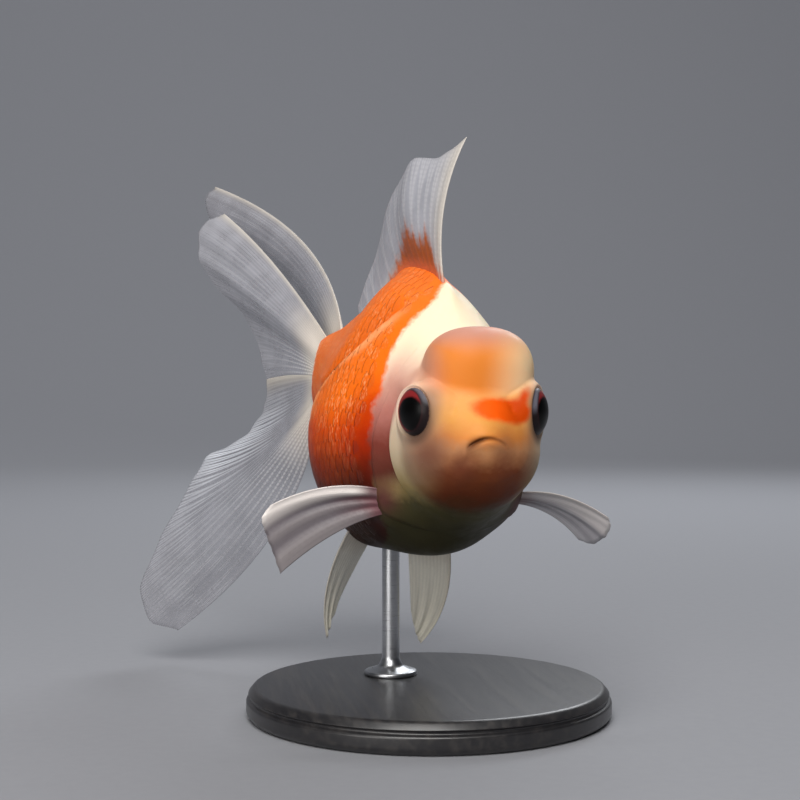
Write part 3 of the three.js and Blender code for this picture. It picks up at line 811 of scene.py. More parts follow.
def make_coat(side, row, at, material, rng):
    """One side's scales. They overlap as tiles do, with the free edge to the tail."""
    pattern, sunk, faces = scale_pattern()
    along, across = pattern[:, 0], pattern[:, 1]
    fine, row_of = row_angles()
    count = len(row)
    row = row + rng.uniform(-0.05, 0.05, count)
    half = along_coat(SCALE_HALVES, at) / BODY_LENGTH * rng.uniform(0.94, 1.06, count)
    degrees = np.interp(row[:, None] + across * SCALE_HALF_WIDTH, row_of, fine)
    root_angle = np.interp(row, row_of, fine)
    t = at[:, None] + along * half[:, None]
    t = clear_of_fold(t, degrees, at[:, None], root_angle[:, None])
    tilt = rng.uniform(0.9, 1.15, count)
    # Those at the front edge of the coat lie low, so that it starts without a step.
    emerge = blend(0.15, 1.0, smooth((at - first_scale(root_angle)) * BODY_LENGTH, 0, 5))
    height = blend(*SCALE_LIFT, ((along + 1) / 2) ** 0.8) * tilt[:, None] - SCALE_BEND * across**2
    height = np.where(height > 0, height * emerge[:, None], height) - sunk
    t = np.minimum(t, 1.0)
    points = coat_point(t, degrees, height)
    fields = markings(t, degrees, points)
    # Most of the edge of the orange runs from scale to scale, and not across them.
    own = markings(at, root_angle, coat_point(at, root_angle))
    ragged = rng.normal(0, 0.45, count)
    fields["saddle"] = blend(fields["saddle"], own["saddle"][:, None], 0.7) + ragged[:, None]
    fields["tone"] = np.broadcast_to(rng.uniform(0, 1, count)[:, None], t.shape)
    fields["scale_along"] = np.broadcast_to(along, t.shape)
    fields["scale_across"] = np.broadcast_to(across, t.shape)
    uv = (unwrap(at, root_angle)[:, None, :] + pattern * SCALE_PATCH).reshape(-1, 2)
    every, is_smooth = coat_faces(faces, count, len(pattern))
    flat = to_scene(points.reshape(-1, 3))
    make_piece(f"scales_{side}", flat, every, material, fields, uv, (), is_smooth)


# ---- Fins -------------------------------------------------------------------------------------------


def curve_through(points, u):
    """Points of a centripetal Catmull-Rom curve at shares u of its spans."""
    points = np.asarray(points, float)
    held = np.vstack([2 * points[0] - points[1], points, 2 * points[-1] - points[-2]])
    spans = len(points) - 1
    place = np.clip(u, 0, 1) * spans
    i = np.minimum(place.astype(int), spans - 1)
    w = (place - i)[..., None]
    p0, p1, p2, p3 = (held[i + k] for k in range(4))
    pairs = ((p0, p1), (p1, p2), (p2, p3))
    gaps = [np.sqrt(np.linalg.norm(b - a, axis=-1))[..., None] for a, b in pairs]
    g1 = np.where(gaps[1] < 1e-4, 1, gaps[1])
    g0 = np.where(gaps[0] < 1e-4, g1, gaps[0])
    g2 = np.where(gaps[2] < 1e-4, g1, gaps[2])
    m1 = ((p1 - p0) / g0 - (p2 - p0) / (g0 + g1) + (p2 - p1) / g1) * g1
    m2 = ((p2 - p1) / g1 - (p3 - p1) / (g1 + g2) + (p3 - p2) / g2) * g1
    return p1 + w * (m1 + w * (3 * (p2 - p1) - 2 * m1 - m2 + w * (2 * (p1 - p2) + m1 + m2)))


def fin_point(rays, u, v):
    """The fin's middle surface: u runs from the leading ray to the trailing one, v along each ray."""
    roots = [body_point(t, degrees, -FIN_ROOT_DEPTH) for (t, degrees), _, _ in rays]
    root = curve_through(roots, u)
    tip = curve_through([tip for _, tip, _ in rays], u)
    bow = curve_through([bow for _, _, bow in rays], u)
    v = v[..., None]
    return blend(root, tip, v) + bow * 4 * v * (1 - v)


def bones(u, v, count, forks, width):
    """How much of a bony ray is at each place, 0 to 1. Each ray forks twice on its way out."""
    cell = np.clip((u * count).astype(int), 0, count - 1)
    off = u * count - cell - 0.5
    first = 0.25 * smooth(v, forks[cell, 0], 1.05)
    second = 0.125 * smooth(v, forks[cell, 1], 1.05)
    found = np.zeros(u.shape)
    for a in (-1, 1):
        for b in (-1, 1):
            found = np.maximum(found, bell(off - a * first - b * second, width))
    return found


FIN_ROW_SPACING = 0.75
FIN_CELL = 12  # columns for each bony ray
FIN_STEP = 0.02  # share of a fin over which its slopes are taken

# A firm fin lies in broad pleats: share of its width from the leading ray, and height there.
PLEATS = ((0, 0.2), (0.22, 1.0), (0.5, -1.0), (0.62, 0.1), (0.74, -0.7), (0.88, 0.5), (1, 0.2))
# Tongues of orange that run up into the dorsal fin: share of its width, half width, length and point.
TONGUES = ((0.22, 0.08, 0.3, 0.8), (0.43, 0.12, 0.36, 0.8), (0.65, 0.16, 0.12, 1), (0, 0.08, 0.05, 1))


def pleat_height(u):
    """Height of the pleats, from -1 in the deepest valley to 1 on the highest crest."""
    height = np.full(u.shape, PLEATS[0][1])
    for (start, before), (end, after) in zip(PLEATS, PLEATS[1:]):
        height += (after - before) * smooth(u, start, end)
    return height


def ember_of(u, v):
    """How far inside the dorsal fin's orange each place is, and below zero outside it."""
    reach = 0.08
    for middle, width, length, point in TONGUES:
        reach = reach + length * bell(u - middle, width) ** point
    return (reach - v) * 6


def cell_width(rays, u, v, count):
    """Millimetres from one bony ray to the next."""
    here, there = np.minimum(u + FIN_STEP / 2, 1), u - FIN_STEP / 2
    fan = np.linalg.norm(fin_point(rays, here, v) - fin_point(rays, there, v), axis=-1)
    return np.maximum(fan / FIN_STEP, 0.5) / count


def fin_normals(rays, u, v):
    """Directions square to the fin's middle surface."""
    a, b = np.clip(u, FIN_STEP, 1 - FIN_STEP), np.clip(v, FIN_STEP, 1 - FIN_STEP)
    down = fin_point(rays, a, b + FIN_STEP) - fin_point(rays, a, b - FIN_STEP)
    over = fin_point(rays, a + FIN_STEP, b) - fin_point(rays, a - FIN_STEP, b)
    normal = np.cross(down, over)
    return normal / np.linalg.norm(normal, axis=-1, keepdims=True)


def web_faces(columns, rows):
    """Faces of a closed web: its front and back sheets of points, and the rims between them."""
    line = rows + 1
    other = (columns + 1) * line
    i, j = np.meshgrid(np.arange(columns), np.arange(rows), indexing="ij")
    at = (i * line + j).ravel()
    front = np.stack([at, at + 1, at + line + 1, at + line], 1)
    back = np.stack([at, at + line, at + line + 1, at + 1], 1) + other
    low = np.arange(columns) * line
    high = low + rows
    left = np.arange(rows)
    right = columns * line + left
    rims = [
        np.stack([low, low + line, low + line + other, low + other], 1),
        np.stack([high, high + other, high + line + other, high + line], 1),
        np.stack([left, left + other, left + 1 + other, left + 1], 1),
        np.stack([right, right + 1, right + 1 + other, right + other], 1),
    ]
    return np.concatenate([front, back, *rims]).tolist()


def crispness(name, fin, u, v):
    """How plainly the bony rays show. In the tail, those near the trailing ray are plain at the root."""
    crisp = fin["crisp"]
    if name.startswith("tail"):
        crisp = crisp + (1 - crisp) * smooth(u, 0.6, 0.9) * (1 - smooth(v, 0.3, 0.62))
    return np.broadcast_to(crisp, u.shape)


def fin_sway(u, v, count, pleat, firm, phase):
    """How far a web stands off its middle surface: it sways between its rays, or lies in pleats."""
    sway = SWAY * np.sin(u * count * 1.7 + phase + 3 * v) * smooth(v, 0.2, 0.9) * bell(2 * u - 1, 0.8)
    return blend(sway, PLEAT * pleat * smooth(v, 0.02, 0.3) * (1 - 0.45 * v), firm)


def half_thickness(u, v, bone, crisp, leading):
    """Half a web's thickness: most at the root, over rays and along the leading edge, least at the rim."""
    thick = blend(FIN_ROOT, MEMBRANE, smooth(v, 0, 0.12)) / 2
    half = thick + RAY_HEIGHT * blend(1, 0.45, v) * bone * crisp + LEADING_HEIGHT * leading * (1 - v)
    columns, rows = u.shape[0] - 1, u.shape[1] - 1
    rim = np.minimum(np.minimum(u, 1 - u) * columns / 2, 1) * np.minimum((1 - v) * rows, 1)
    return half * blend(RIM_SHARE, 1, np.clip(rim, 0, 1))


def make_fin(name, fin, material, rng):
    """A thin closed web with rays that stand out on both of its faces."""
    fin = {**PLAIN_FIN, **fin}
    count, rays, firm = fin["bones"], fin["rays"], fin["firm"]
    is_dorsal, is_frilled = name == "dorsal_fin", name == "tail_fin_right_lower"
    reach = max(np.linalg.norm(np.subtract(tip, body_point(*place))) for place, tip, _ in rays)
    rows = int(np.clip(reach / FIN_ROW_SPACING, 16, 64))
    columns = count * FIN_CELL
    across, outwards = np.linspace(0, 1, columns + 1), np.linspace(0, 1, rows + 1)
    u, v = np.meshgrid(across, outwards, indexing="ij")
    forks = np.stack([rng.uniform(0.3, 0.45, count), rng.uniform(0.6, 0.75, count)], 1)
    width = blend(*RAY_WIDTHS, v) * fin["broad"] / cell_width(rays, u, v, count)
    bone = bones(u, v, count, forks, np.clip(width, 0.07, 0.34))
    crisp = crispness(name, fin, u, v)
    pleat = pleat_height(u)
    leading = bell(u, 0.12 if is_dorsal else 0.06)

    # The trailing edge is a little ragged.
    wave = rng.uniform(0, 6.28, 3)
    nick = 0.004 * (1 - bone) + 0.004 * (1 + np.sin(u * 17 + wave[0]) * np.sin(u * 31 + wave[1]))
    normal = fin_normals(rays, u, v)
    sway = fin_sway(u, v, count, pleat, firm, wave[2])
    middle = fin_point(rays, u, v * (1 - nick * smooth(v, 0.85, 1))) + normal * sway[..., None]
    half = half_thickness(u, v, bone, crisp, leading)
    sheets = [middle + normal * (sign * half)[..., None] for sign in (1, -1)]
    points = np.concatenate([sheet.reshape(-1, 3) for sheet in sheets])

    chord = fin_point(rays, u, np.ones_like(v)) - fin_point(rays, u, np.zeros_like(v))
    fields = {
        "ray": bone,
        "reach": v,
        # The joints of neighbouring rays don't line up.
        "length": v * np.linalg.norm(chord, axis=-1) + 0.37 * np.floor(u * count),
        "leading": leading,
        "firm": np.full(u.shape, firm),
        "crisp": crisp,
        # Painted shade in the valleys of the pleats.
        "valley": (0.5 - 0.5 * pleat) * firm,
        # The leading part of a firm fin: partly its own white and partly painted light, as it faces the
        # light.
        "band": (1 - smooth(u - 0.1 * v, 0.3, 0.46)) * firm,
        "frill": smooth(v, 0.35, 0.8) * bell(u - 0.4, 0.22) * is_frilled,
        "pale": np.full(u.shape, fin["pale"]),
        "ember": ember_of(u, v) if is_dorsal else np.full(u.shape, -1.0),
    }
    fields = {key: np.tile(value.ravel(), 2) for key, value in fields.items()}
    faces = web_faces(columns, rows)
    make_piece(name + "_web", to_scene(points), faces, material, fields, None, (name,))


# ---- Eyes -------------------------------------------------------------------------------------------

EYE_RINGS, EYE_SIDES = 40, 72


def make_eye(side, material):
    """A flattened ball, turned outwards and a little forward."""
    name = "left" if side > 0 else "right"
    lean = np.pi * np.arange(1, EYE_RINGS) / EYE_RINGS
    turn = 2 * np.pi * np.arange(EYE_SIDES) / EYE_SIDES
    lean, turn = np.meshgrid(lean, turn, indexing="ij")
    off = np.sin(lean)
    ball = np.stack([np.cos(lean), off * np.cos(turn), off * np.sin(turn)], -1)
    ball = np.concatenate([ball.reshape(-1, 3), [(1, 0, 0), (-1, 0, 0)]])
    local = ball * (EYE_DEPTH, EYE_RADIUS, EYE_RADIUS) * (side, 1, 1)
    c, s = math.cos(-side * EYE_FORWARD), math.sin(-side * EYE_FORWARD)
    x = local[:, 0] * c - local[:, 1] * s
    y = local[:, 0] * s + local[:, 1] * c
    points = np.stack([x, y, local[:, 2]], 1) + EYE_CENTRE * (side, 1, 1)
    radial = np.concatenate([off.ravel() * EYE_RADIUS, [0, 0]])
    fields = {
        "off_axis": np.where(ball[:, 0] > 0, radial, EYE_RADIUS),
        "up": local[:, 2],
        "fore": -local[:, 1],
        # The flesh round the left eye gets more of the painted highlight.
        "grey": np.full(len(local), 1.5 if side > 0 else 0.0),
    }
    faces = capped_faces(EYE_RINGS - 1, EYE_SIDES)
    replaces = (f"eye_{name}",)
    make_piece(f"eyeball_{name}", to_scene(points), faces, material, fields, None, replaces)


# ---- Stand ------------------------------------------------------------------------------------------


def turned_rings(profile, centre, sides):
    """Rings of points turned on a lathe, from a profile of (radius, height), with its two ends."""
    turn = 2 * np.pi * np.arange(sides) / sides
    rings = [
        np.stack([r * np.cos(turn) + centre[0], r * np.sin(turn) + centre[1], np.full(sides, h)], 1)
        for r, h in profile
    ]
    return np.concatenate([*rings, [(*centre, profile[0][1]), (*centre, profile[-1][1])]])


def middle_of(low, high):
    """The middle of a box from above, in millimetres of the row frame."""
    return (low.x + high.x) / 2 / MM, (low.y + high.y) / 2 / MM


def turned_piece(name, profile, centre, sides, material, node):
    """A piece turned on a lathe, its profile in millimetres of the row frame."""
    points = turned_rings(profile, centre, sides) * MM
    faces = capped_faces(len(profile), sides)
    make_piece(name, points, faces, material, None, None, (node,))


def rounded(profile, radius, steps=5):
    """The profile with its inner corners rounded."""
    out = [profile[0]]
    for before, corner, after in zip(profile, profile[1:], profile[2:]):
        corner = np.array(corner, float)
        a, b = np.array(before) - corner, np.array(after) - corner
        room = min(radius, np.linalg.norm(a) * 0.45, np.linalg.norm(b) * 0.45)
        start, end = corner + a / np.linalg.norm(a) * room, corner + b / np.linalg.norm(b) * room
        for k in range(steps + 1):
            w = k / steps
            out.append(tuple(start * (1 - w) ** 2 + corner * 2 * w * (1 - w) + end * w * w))
    return out + [profile[-1]]


def make_stand(base_material, rod_material):
    """A lacquered disc with a groove round its edge, and a steel rod on a flared foot."""
    low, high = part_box("stand_base")
    centre = middle_of(low, high)
    edge, top = BASE_RADIUS, BASE_HEIGHT
    profile = [
        (0.5, 0), (edge - 0.8, 0), (edge, 0.8), (edge, 2.9), (edge - 0.7, 3.2),
        (edge - 0.7, 3.6), (edge - 0.3, 3.8), (edge - 1.3, top), (0.5, top),
    ]
    turned_piece("base_disc", rounded(profile, 0.5), centre, 160, base_material, "stand_base")
    low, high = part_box("stand_rod")
    centre = middle_of(low, high)
    foot, tip = low.z / MM, high.z / MM
    profile = [
        (0.3, foot), (4.5, foot), (4.5, foot + 0.7), (2.1, foot + 1.5), (ROD_RADIUS, foot + 2.8),
        (ROD_RADIUS, tip), (0.3, tip),
    ]
    turned_piece("rod_steel", rounded(profile, 0.5), centre, 64, rod_material, "stand_rod")


# ---- Materials --------------------------------------------------------------------------------------

# Inputs 0 to 4 of a Map Range are its value, where that starts and ends, and what it then gives.
SMOOTH = {"interpolation_type": "SMOOTHSTEP"}
TIMES = {"operation": "MULTIPLY"}


def linear(code):
    """An sRGB hex colour as linear RGBA."""
    parts = [int(code[i : i + 2], 16) / 255 for i in (1, 3, 5)]
    return (*(p / 12.92 if p <= 0.04045 else ((p + 0.055) / 1.055) ** 2.4 for p in parts), 1.0)


def grains(size_mm):
    """The scale of a noise whose grains are this many millimetres across."""
    return 1 / (size_mm * MM)


def make_material(name, surface):
    """A material for which surface gives the inputs of its shader, from the function that adds a
    node to it and the place of each point on the object."""
    material = bpy.data.materials.new(name)
    material.use_nodes = True
    tree = material.node_tree
    tree.nodes.clear()

    def add(kind, inputs=None, out=0, **settings):
        """A node with its settings and links, given by one of its outputs. An input is another
        node's output, a constant, a colour such as "#ffffff", or the name of a field of the mesh."""
        node = tree.nodes.new("ShaderNode" + kind)
        for key, value in settings.items():
            setattr(node, key, value)
        for key, value in (inputs or {}).items():
            if isinstance(value, str):
                is_colour = value.startswith("#")
                value = linear(value) if is_colour else add("Attribute", out="Fac", attribute_name=value)
            if isinstance(value, bpy.types.NodeSocket):
                tree.links.new(value, node.inputs[key])
            else:
                node.inputs[key].default_value = value
        return node.outputs[out] if len(node.outputs) else None

    place = add("TexCoord", out="Object")
    shader = add("BsdfPrincipled", surface(add, place))
    add("OutputMaterial", {"Surface": shader})
    return material


def sums(add, *terms):
    """The sum of sockets or fields, each given with its factor."""
    total = 0.0
    for value, factor in terms:
        total = add("Math", {0: value, 1: factor, 2: total}, operation="MULTIPLY_ADD")
    return total


def coats(add, ground, layers):
    """Colours laid over each other: each layer is a colour, where it lies, how thickly, and how."""
    result = ground
    for colour, cover, strength, *way in layers:
        inputs = {0: cover if strength == 1 else sums(add, (cover, strength)), 6: result, 7: colour}
        result = add("Mix", inputs, 2, data_type="RGBA", blend_type=way[0] if way else "MIX")
    return result


def by_height(add, level, colours):
    """The colour at a height over the mouth, from pairs of height and colour."""
    low, high = colours[0][0], colours[-1][0]
    share = add("MapRange", {0: level, 1: low, 2: high})
    result = add("ValToRGB", {"Fac": share})
    elements = result.node.color_ramp.elements
    elements[0].color, elements[1].color = linear(colours[0][1]), linear(colours[-1][1])
    for height, colour in colours[1:-1]:
        elements.new((height - low) / (high - low)).color = linear(colour)
    return result


# Colours by height in millimetres over the mouth: down the middle of the face and down its sides,
# over the gill covers, and over the orange flanks. They darken downwards partly with the fish's own
# colour and partly with painted shade of the underside.
FACE_COLOURS = (
    (-14, "#322c1c"), (-11, "#3e2f1c"), (-8, "#612d16"), (-4.5, "#84431e"), (-1.6, "#cc9060"),
    (0.4, "#dd8a40"), (3, "#e09c4a"), (7, "#e1a260"),
)
SIDE_COLOURS = (
    (-14, "#33301f"), (-10, "#4a4528"), (-7, "#a8925f"), (-3, "#cdb998"), (2, "#dcc5ab"),
    (6, "#f0cfbb"), (14, "#f4e2c2"),
)
COVER_COLOURS = (
    (-11, "#240e0b"), (-6, "#541812"), (-1, "#75241c"), (4, "#ae6a60"), (8.5, "#cc9684"),
    (13, "#e6bca6"),
)
FLANK_COLOURS = (
    (-17, "#2a170c"), (-12, "#3c1906"), (-8, "#4e1b05"), (-4.5, "#7c2c04"), (1, "#d04802"),
    (6, "#fb700f"), (20, "#fb7420"),
)

# Grains of pigment in millimetres, from broad clouds to single cells. Real cells are a tenth as wide,
# and are drawn as coarse as this to show.
CLOUDS, PATCHES, GRAIN, CELLS = 6.0, 3.2, 0.9, 0.35


def orange_colour(add, place, level):
    """The orange of back and flanks, darker down the belly, partly its own colour and partly painted
    shade, and darker with painted shade where the fold shades it.
    """
    clouds = add("TexNoise", {"Vector": place, "Scale": grains(CLOUDS), "Detail": 3.0})
    deep = add("MapRange", {0: clouds, 1: 0.35, 2: 0.7}, **SMOOTH)
    front = add("MapRange", {0: "saddle", 1: 9.0, 2: 0.5}, **SMOOTH)
    low = add("MapRange", {0: level, 1: 11.0, 2: 5.0}, **SMOOTH)
    front_low = add("Math", {0: front, 1: low}, **TIMES)
    layers = [
        ("#ffb45e", deep, 0.4, "SOFT_LIGHT"),
        ("#d4a69c", front_low, 1, "MULTIPLY"),
        # painted shade behind the fold
        ("#962c06", "shade", 0.25),
    ]
    return coats(add, by_height(add, level, FLANK_COLOURS), layers)


def fish_colours(add, place):
    """The colours of skin and scales, from the fields that they share: their living colours, with
    painted shade and painted highlights among them.
    """
    patches, grain, cells = (
        add("TexNoise", {"Vector": place, "Scale": grains(size), "Detail": 3.0})
        for size in (PATCHES, GRAIN, CELLS)
    )
    level = sums(add, ("level", 1.0), (patches, 2.6), (grain, 1.2), (1.9, -1.0))
    ragged = sums(add, ("saddle", 1.0), (patches, 3.0), (grain, 1.6), (2.3, -1.0))
    saddle = add("MapRange", {0: ragged, 1: -0.9, 2: 0.8}, **SMOOTH)
    blurred = sums(add, ("patch", 1.0), (grain, 0.4), (0.2, -1.0))
    patch = add("MapRange", {0: blurred, 1: -0.5, 2: 0.6}, **SMOOTH)
    cap = coats(add, "#dc8030", [("#be8a7c", "cap_rose", 0.85), ("#fee2b4", "cap_cream", 0.95)])
    pale_cells = add("MapRange", {0: cells, 1: 0.72, 2: 0.8, 4: 0.12}, **SMOOTH)
    layers = [
        (by_height(add, level, FACE_COLOURS), "face", 1),
        # partly the skin's own brown, partly painted shade below the eyes
        ("#6c3c2e", "eyebag", 0.88),
        ("#e4a688", "temple", 0.7),
        (by_height(add, level, COVER_COLOURS), "blush", 0.95),
        # painted shade round the eyes
        ("#3c2a26", "socket", 0.75),
        (cap, "cap", 1),
        (coats(add, "#f05a02", [("#c64204", "patch_deep", 1)]), patch, 1),
        (orange_colour(add, place, level), saddle, 1),
        ("#5c2430", "axil", 0.7),
        # painted shade in the mouth's slit
        ("#431a08", "lip", 0.9),
        # painted highlight along the brink of the fold
        ("#ffb27a", "shine", 0.6),
        ("#fff0e0", pale_cells, 1),
    ]
    return coats(add, by_height(add, level, SIDE_COLOURS), layers)


def skin_surface(add, place):
    """Living fish skin under a film of slime: soft and moist, with light going a little way in."""
    pores = add("TexNoise", {"Vector": place, "Scale": grains(CELLS), "Detail": 2.0})
    folds = add("TexNoise", {"Vector": place, "Scale": grains(1.6), "Detail": 3.0})
    height = sums(add, (pores, 0.35), (folds, 0.65))
    return {
        "Base Color": fish_colours(add, place),
        "Roughness": add("MapRange", {0: folds, 1: 0.2, 2: 0.8, 3: 0.42, 4: 0.56}, **SMOOTH),
        "Normal": add("Bump", {"Strength": 0.12, "Distance": 0.0004, "Height": height}),
        "Subsurface Weight": 0.15,
        "Subsurface Radius": (1.0, 0.45, 0.25),
        "Subsurface Scale": 0.0015,
        "Specular IOR Level": 0.2,
        "Coat Weight": 0.03,
        "Coat Roughness": 0.3,
        "IOR": 1.35,
    }


def scale_surface(add, place):
    """Fish scales: thin horn over a silvery layer, with painted glints in pink and gold, painted light
    on their free edges, and painted shade where the scale in front lies over them.
    """
    spread = add("Math", {0: "scale_across", 1: "scale_across"}, **TIMES)
    reach = sums(add, ("scale_along", 1.0), (spread, 0.35))
    lit_free_edge = add("MapRange", {0: reach, 1: 0.55, 2: 1.0}, **SMOOTH)
    shaded_under_scale = add("MapRange", {0: reach, 1: 0.35, 2: -0.25}, **SMOOTH)
    # Streaks of silver stand upright, four times as high as they are wide.
    drawn = add("VectorMath", {0: place, 1: (3.0, 3.0, 0.7)}, **TIMES)
    streaks = add("TexNoise", {"Vector": drawn, "Scale": grains(0.8), "Detail": 2.0})
    bright = add("MapRange", {0: streaks, 1: 0.45, 2: 0.7}, **SMOOTH)
    # Painted glints: silver streaks lightened in colour, the more the higher up the body, where the light
    # falls.
    lit_higher_up = add("MapRange", {0: "level", 1: -6.0, 2: 6.0, 3: 0.05, 4: 0.7}, **SMOOTH)
    painted_glint = add("Math", {0: add("Math", {0: bright, 1: "tone"}, **TIMES), 1: lit_higher_up}, **TIMES)
    layers = [
        ("#ffae78", painted_glint, 1),
        # painted light on each scale's free edge, and painted shade where the scale in front lies over it
        ("#ffc98a", lit_free_edge, 0.25, "SOFT_LIGHT"),
        ("#d8875c", shaded_under_scale, 0.12, "MULTIPLY"),
    ]
    # Growth rings are drawn eleven to a scale, fewer than a real one has, so that they show.
    rings = add("Math", {0: sums(add, (reach, 34.0))}, operation="SINE")
    height = sums(add, (rings, 0.12), (streaks, 0.8))
    return {
        "Base Color": coats(add, fish_colours(add, place), layers),
        "Metallic": 0.12,
        "Roughness": add("MapRange", {0: streaks, 1: 0.25, 2: 0.75, 3: 0.4, 4: 0.58}, **SMOOTH),
        "Normal": add("Bump", {"Strength": 0.25, "Distance": 0.0003, "Height": height}),
        "Subsurface Weight": 0.06,
        "Subsurface Radius": (1.0, 0.4, 0.2),
        "Subsurface Scale": 0.001,
        "Specular IOR Level": 0.25,
        "Coat Weight": 0.03,
        "Coat Roughness": 0.25,
    }


def plain_ray(add, beads):
    """How much of a bony ray shows: plain where it is crisp, and beaded by its joints there."""
    notches = add("Math", {0: sums(add, (beads, 1.0), (-1.0, 1.0)), 1: "crisp"}, **TIMES)
    beaded = add("Math", {0: "ray", 1: sums(add, (notches, 0.5), (1.0, 1.0))}, **TIMES)
    return add("Math", {0: beaded, 1: sums(add, ("crisp", 0.7), (0.2, 1.0))}, **TIMES)


def fin_surface(add, place):
    """A fin's web: clear skin between white bony rays, denser near the root."""
    joints = add("Math", {0: sums(add, ("length", 2 * math.pi / RAY_JOINT))}, operation="SINE")
    beads = add("MapRange", {0: joints, 1: -0.9, 2: 0.4}, **SMOOTH)
    broad = add("TexNoise", {"Vector": place, "Scale": grains(5.0), "Detail": 3.0})
    cloud = add("MapRange", {0: broad, 1: 0.3, 2: 0.7}, **SMOOTH)
    fine = add("TexNoise", {"Vector": place, "Scale": grains(0.8), "Detail": 3.0})
    shown = plain_ray(add, beads)
    streak = add("Math", {0: "frill", 1: "ray"}, **TIMES)
    root = add("MapRange", {0: "reach", 1: 0.3, 2: 0.03}, **SMOOTH)
    lower_part = add("MapRange", {0: "reach", 1: 0.55, 2: 0.15}, **SMOOTH)
    stalk = add("MapRange", {0: "reach", 1: 0.3, 2: 0.14}, **SMOOTH)
    milky = sums(add, ("pale", 1.0), (cloud, 0.25))
    layers = [
        ("#b9bac2", milky, 1),
        ("#c9c7cb", shown, 1),
        ("#e3e8f0", streak, 0.9),
        # past 0.9 of pale: partly the fin's own cream, partly painted light on a fin that the body shades
        ("#efe9d2", add("MapRange", {0: "pale", 1: 0.9, 2: 1.5, 4: 0.75}, **SMOOTH), 1),
        ("#dcd3c6", root, 0.9),
        ("#c8c0b4", "leading", 0.8),
        ("#7f7674", "firm", 0.85),
        # partly the fin's own white, partly painted light on its leading part
        ("#fff6f0", "band", 1),
        # painted shade in the valleys of the pleats, dark red towards the root
        ("#4a434c", "valley", 0.8),
        ("#5c2a30", add("Math", {0: "valley", 1: lower_part}, **TIMES), 0.8),
        ("#6c3f45", add("Math", {0: "firm", 1: stalk}, **TIMES), 0.9),
    ]
    streaked = sums(add, ("ember", 1.0), (fine, 0.9), ("ray", 0.4), (0.65, -1.0))
    ember = add("MapRange", {0: streaked, 1: -0.45, 2: 0.6}, **SMOOTH)
    low = add("MapRange", {0: "reach", 1: 0.22, 2: 0.08}, **SMOOTH)
    layers.append((coats(add, "#a8541c", [("#d06a3c", low, 1)]), ember, 1))
    # How solid the web is: the clear skin alone, and what makes it denser.
    solid = sums(
        add, (0.36, 1.0), (shown, 0.25), (milky, 0.12), (root, 0.35), (ember, 0.25),
        ("leading", 0.45), ("firm", 0.5), (streak, 0.5),
    )
    height = sums(add, (beads, 0.5), (fine, 0.5))
    return {
        "Base Color": coats(add, "#74737b", layers),
        "Roughness": add("MapRange", {0: fine, 1: 0.2, 2: 0.8, 3: 0.45, 4: 0.6}, **SMOOTH),
        "Normal": add("Bump", {"Strength": 0.2, "Distance": 0.0002, "Height": height}),
        "Alpha": add("Math", {0: solid, 1: 0.98}, operation="MINIMUM"),
        "Coat Weight": 0.05,
        "Coat Roughness": 0.3,
    }


def eye_surface(add, place):
    """A wet eye: black pupil, a dark red iris, and grey-violet flesh round it, with a painted highlight
    on its front and top and painted shade at its brown edge.
    """
    fine = add("TexNoise", {"Vector": place, "Scale": grains(0.5), "Detail": 3.0})
    edge = sums(add, ("off_axis", 1.0), (fine, 0.2), (0.1, -1.0))
    iris = sums(add, (edge, 1.0), ("fore", 0.12), ("up", -0.05))
    pupil = sums(add, (edge, 1.0), ("fore", -0.2), ("up", 0.14))
    # A painted highlight: the flesh is paler at its front and top, where the light falls.
    lit_front_top = sums(add, ("up", 1.0), ("fore", 0.45), ("grey", 1.0))
    pale = add("MapRange", {0: lit_front_top, 1: 2.2, 2: 4.0, 4: 0.8}, **SMOOTH)
    flesh = coats(add, "#1f1617", [("#6f6d78", pale, 1)])
    layers = [
        ("#7a2224", add("MapRange", {0: pupil, 1: 2.2, 2: 2.7}, **SMOOTH), 1),
        ("#2a1416", add("MapRange", {0: iris, 1: 2.8, 2: 3.05}, **SMOOTH), 1),
        (flesh, add("MapRange", {0: iris, 1: 2.9, 2: 3.3}, **SMOOTH), 1),
        # painted shade at the edge, where the skin closes on the eye
        ("#4a3430", add("MapRange", {0: "off_axis", 1: 3.3, 2: 3.6, 4: 0.6}, **SMOOTH), 1),
    ]
    return {
        "Base Color": coats(add, "#030303", layers),
        "Roughness": 0.35,
        "Specular IOR Level": 0.25,
        "Coat Weight": 0.04,
        "Coat Roughness": 0.06,
        "IOR": 1.34,
    }


def lacquer_surface(add, place):
    """Black lacquer on turned beech: deep and satin, with a faint grain under it."""
    drawn = add("VectorMath", {0: place, 1: (1.0, 0.06, 1.0)}, **TIMES)
    grain = add("TexNoise", {"Vector": drawn, "Scale": grains(1.2), "Detail": 4.0})
    pale = add("MapRange", {0: grain, 1: 0.4, 2: 0.75}, **SMOOTH)
    return {
        "Base Color": coats(add, "#1c1b1d", [("#2f2c2b", pale, 1)]),
        "Roughness": add("MapRange", {0: grain, 1: 0.2, 2: 0.8, 3: 0.36, 4: 0.5}, **SMOOTH),
        "Normal": add("Bump", {"Strength": 0.08, "Distance": 0.0002, "Height": grain}),
        "Coat Weight": 0.4,
        "Coat Roughness": 0.25,
    }


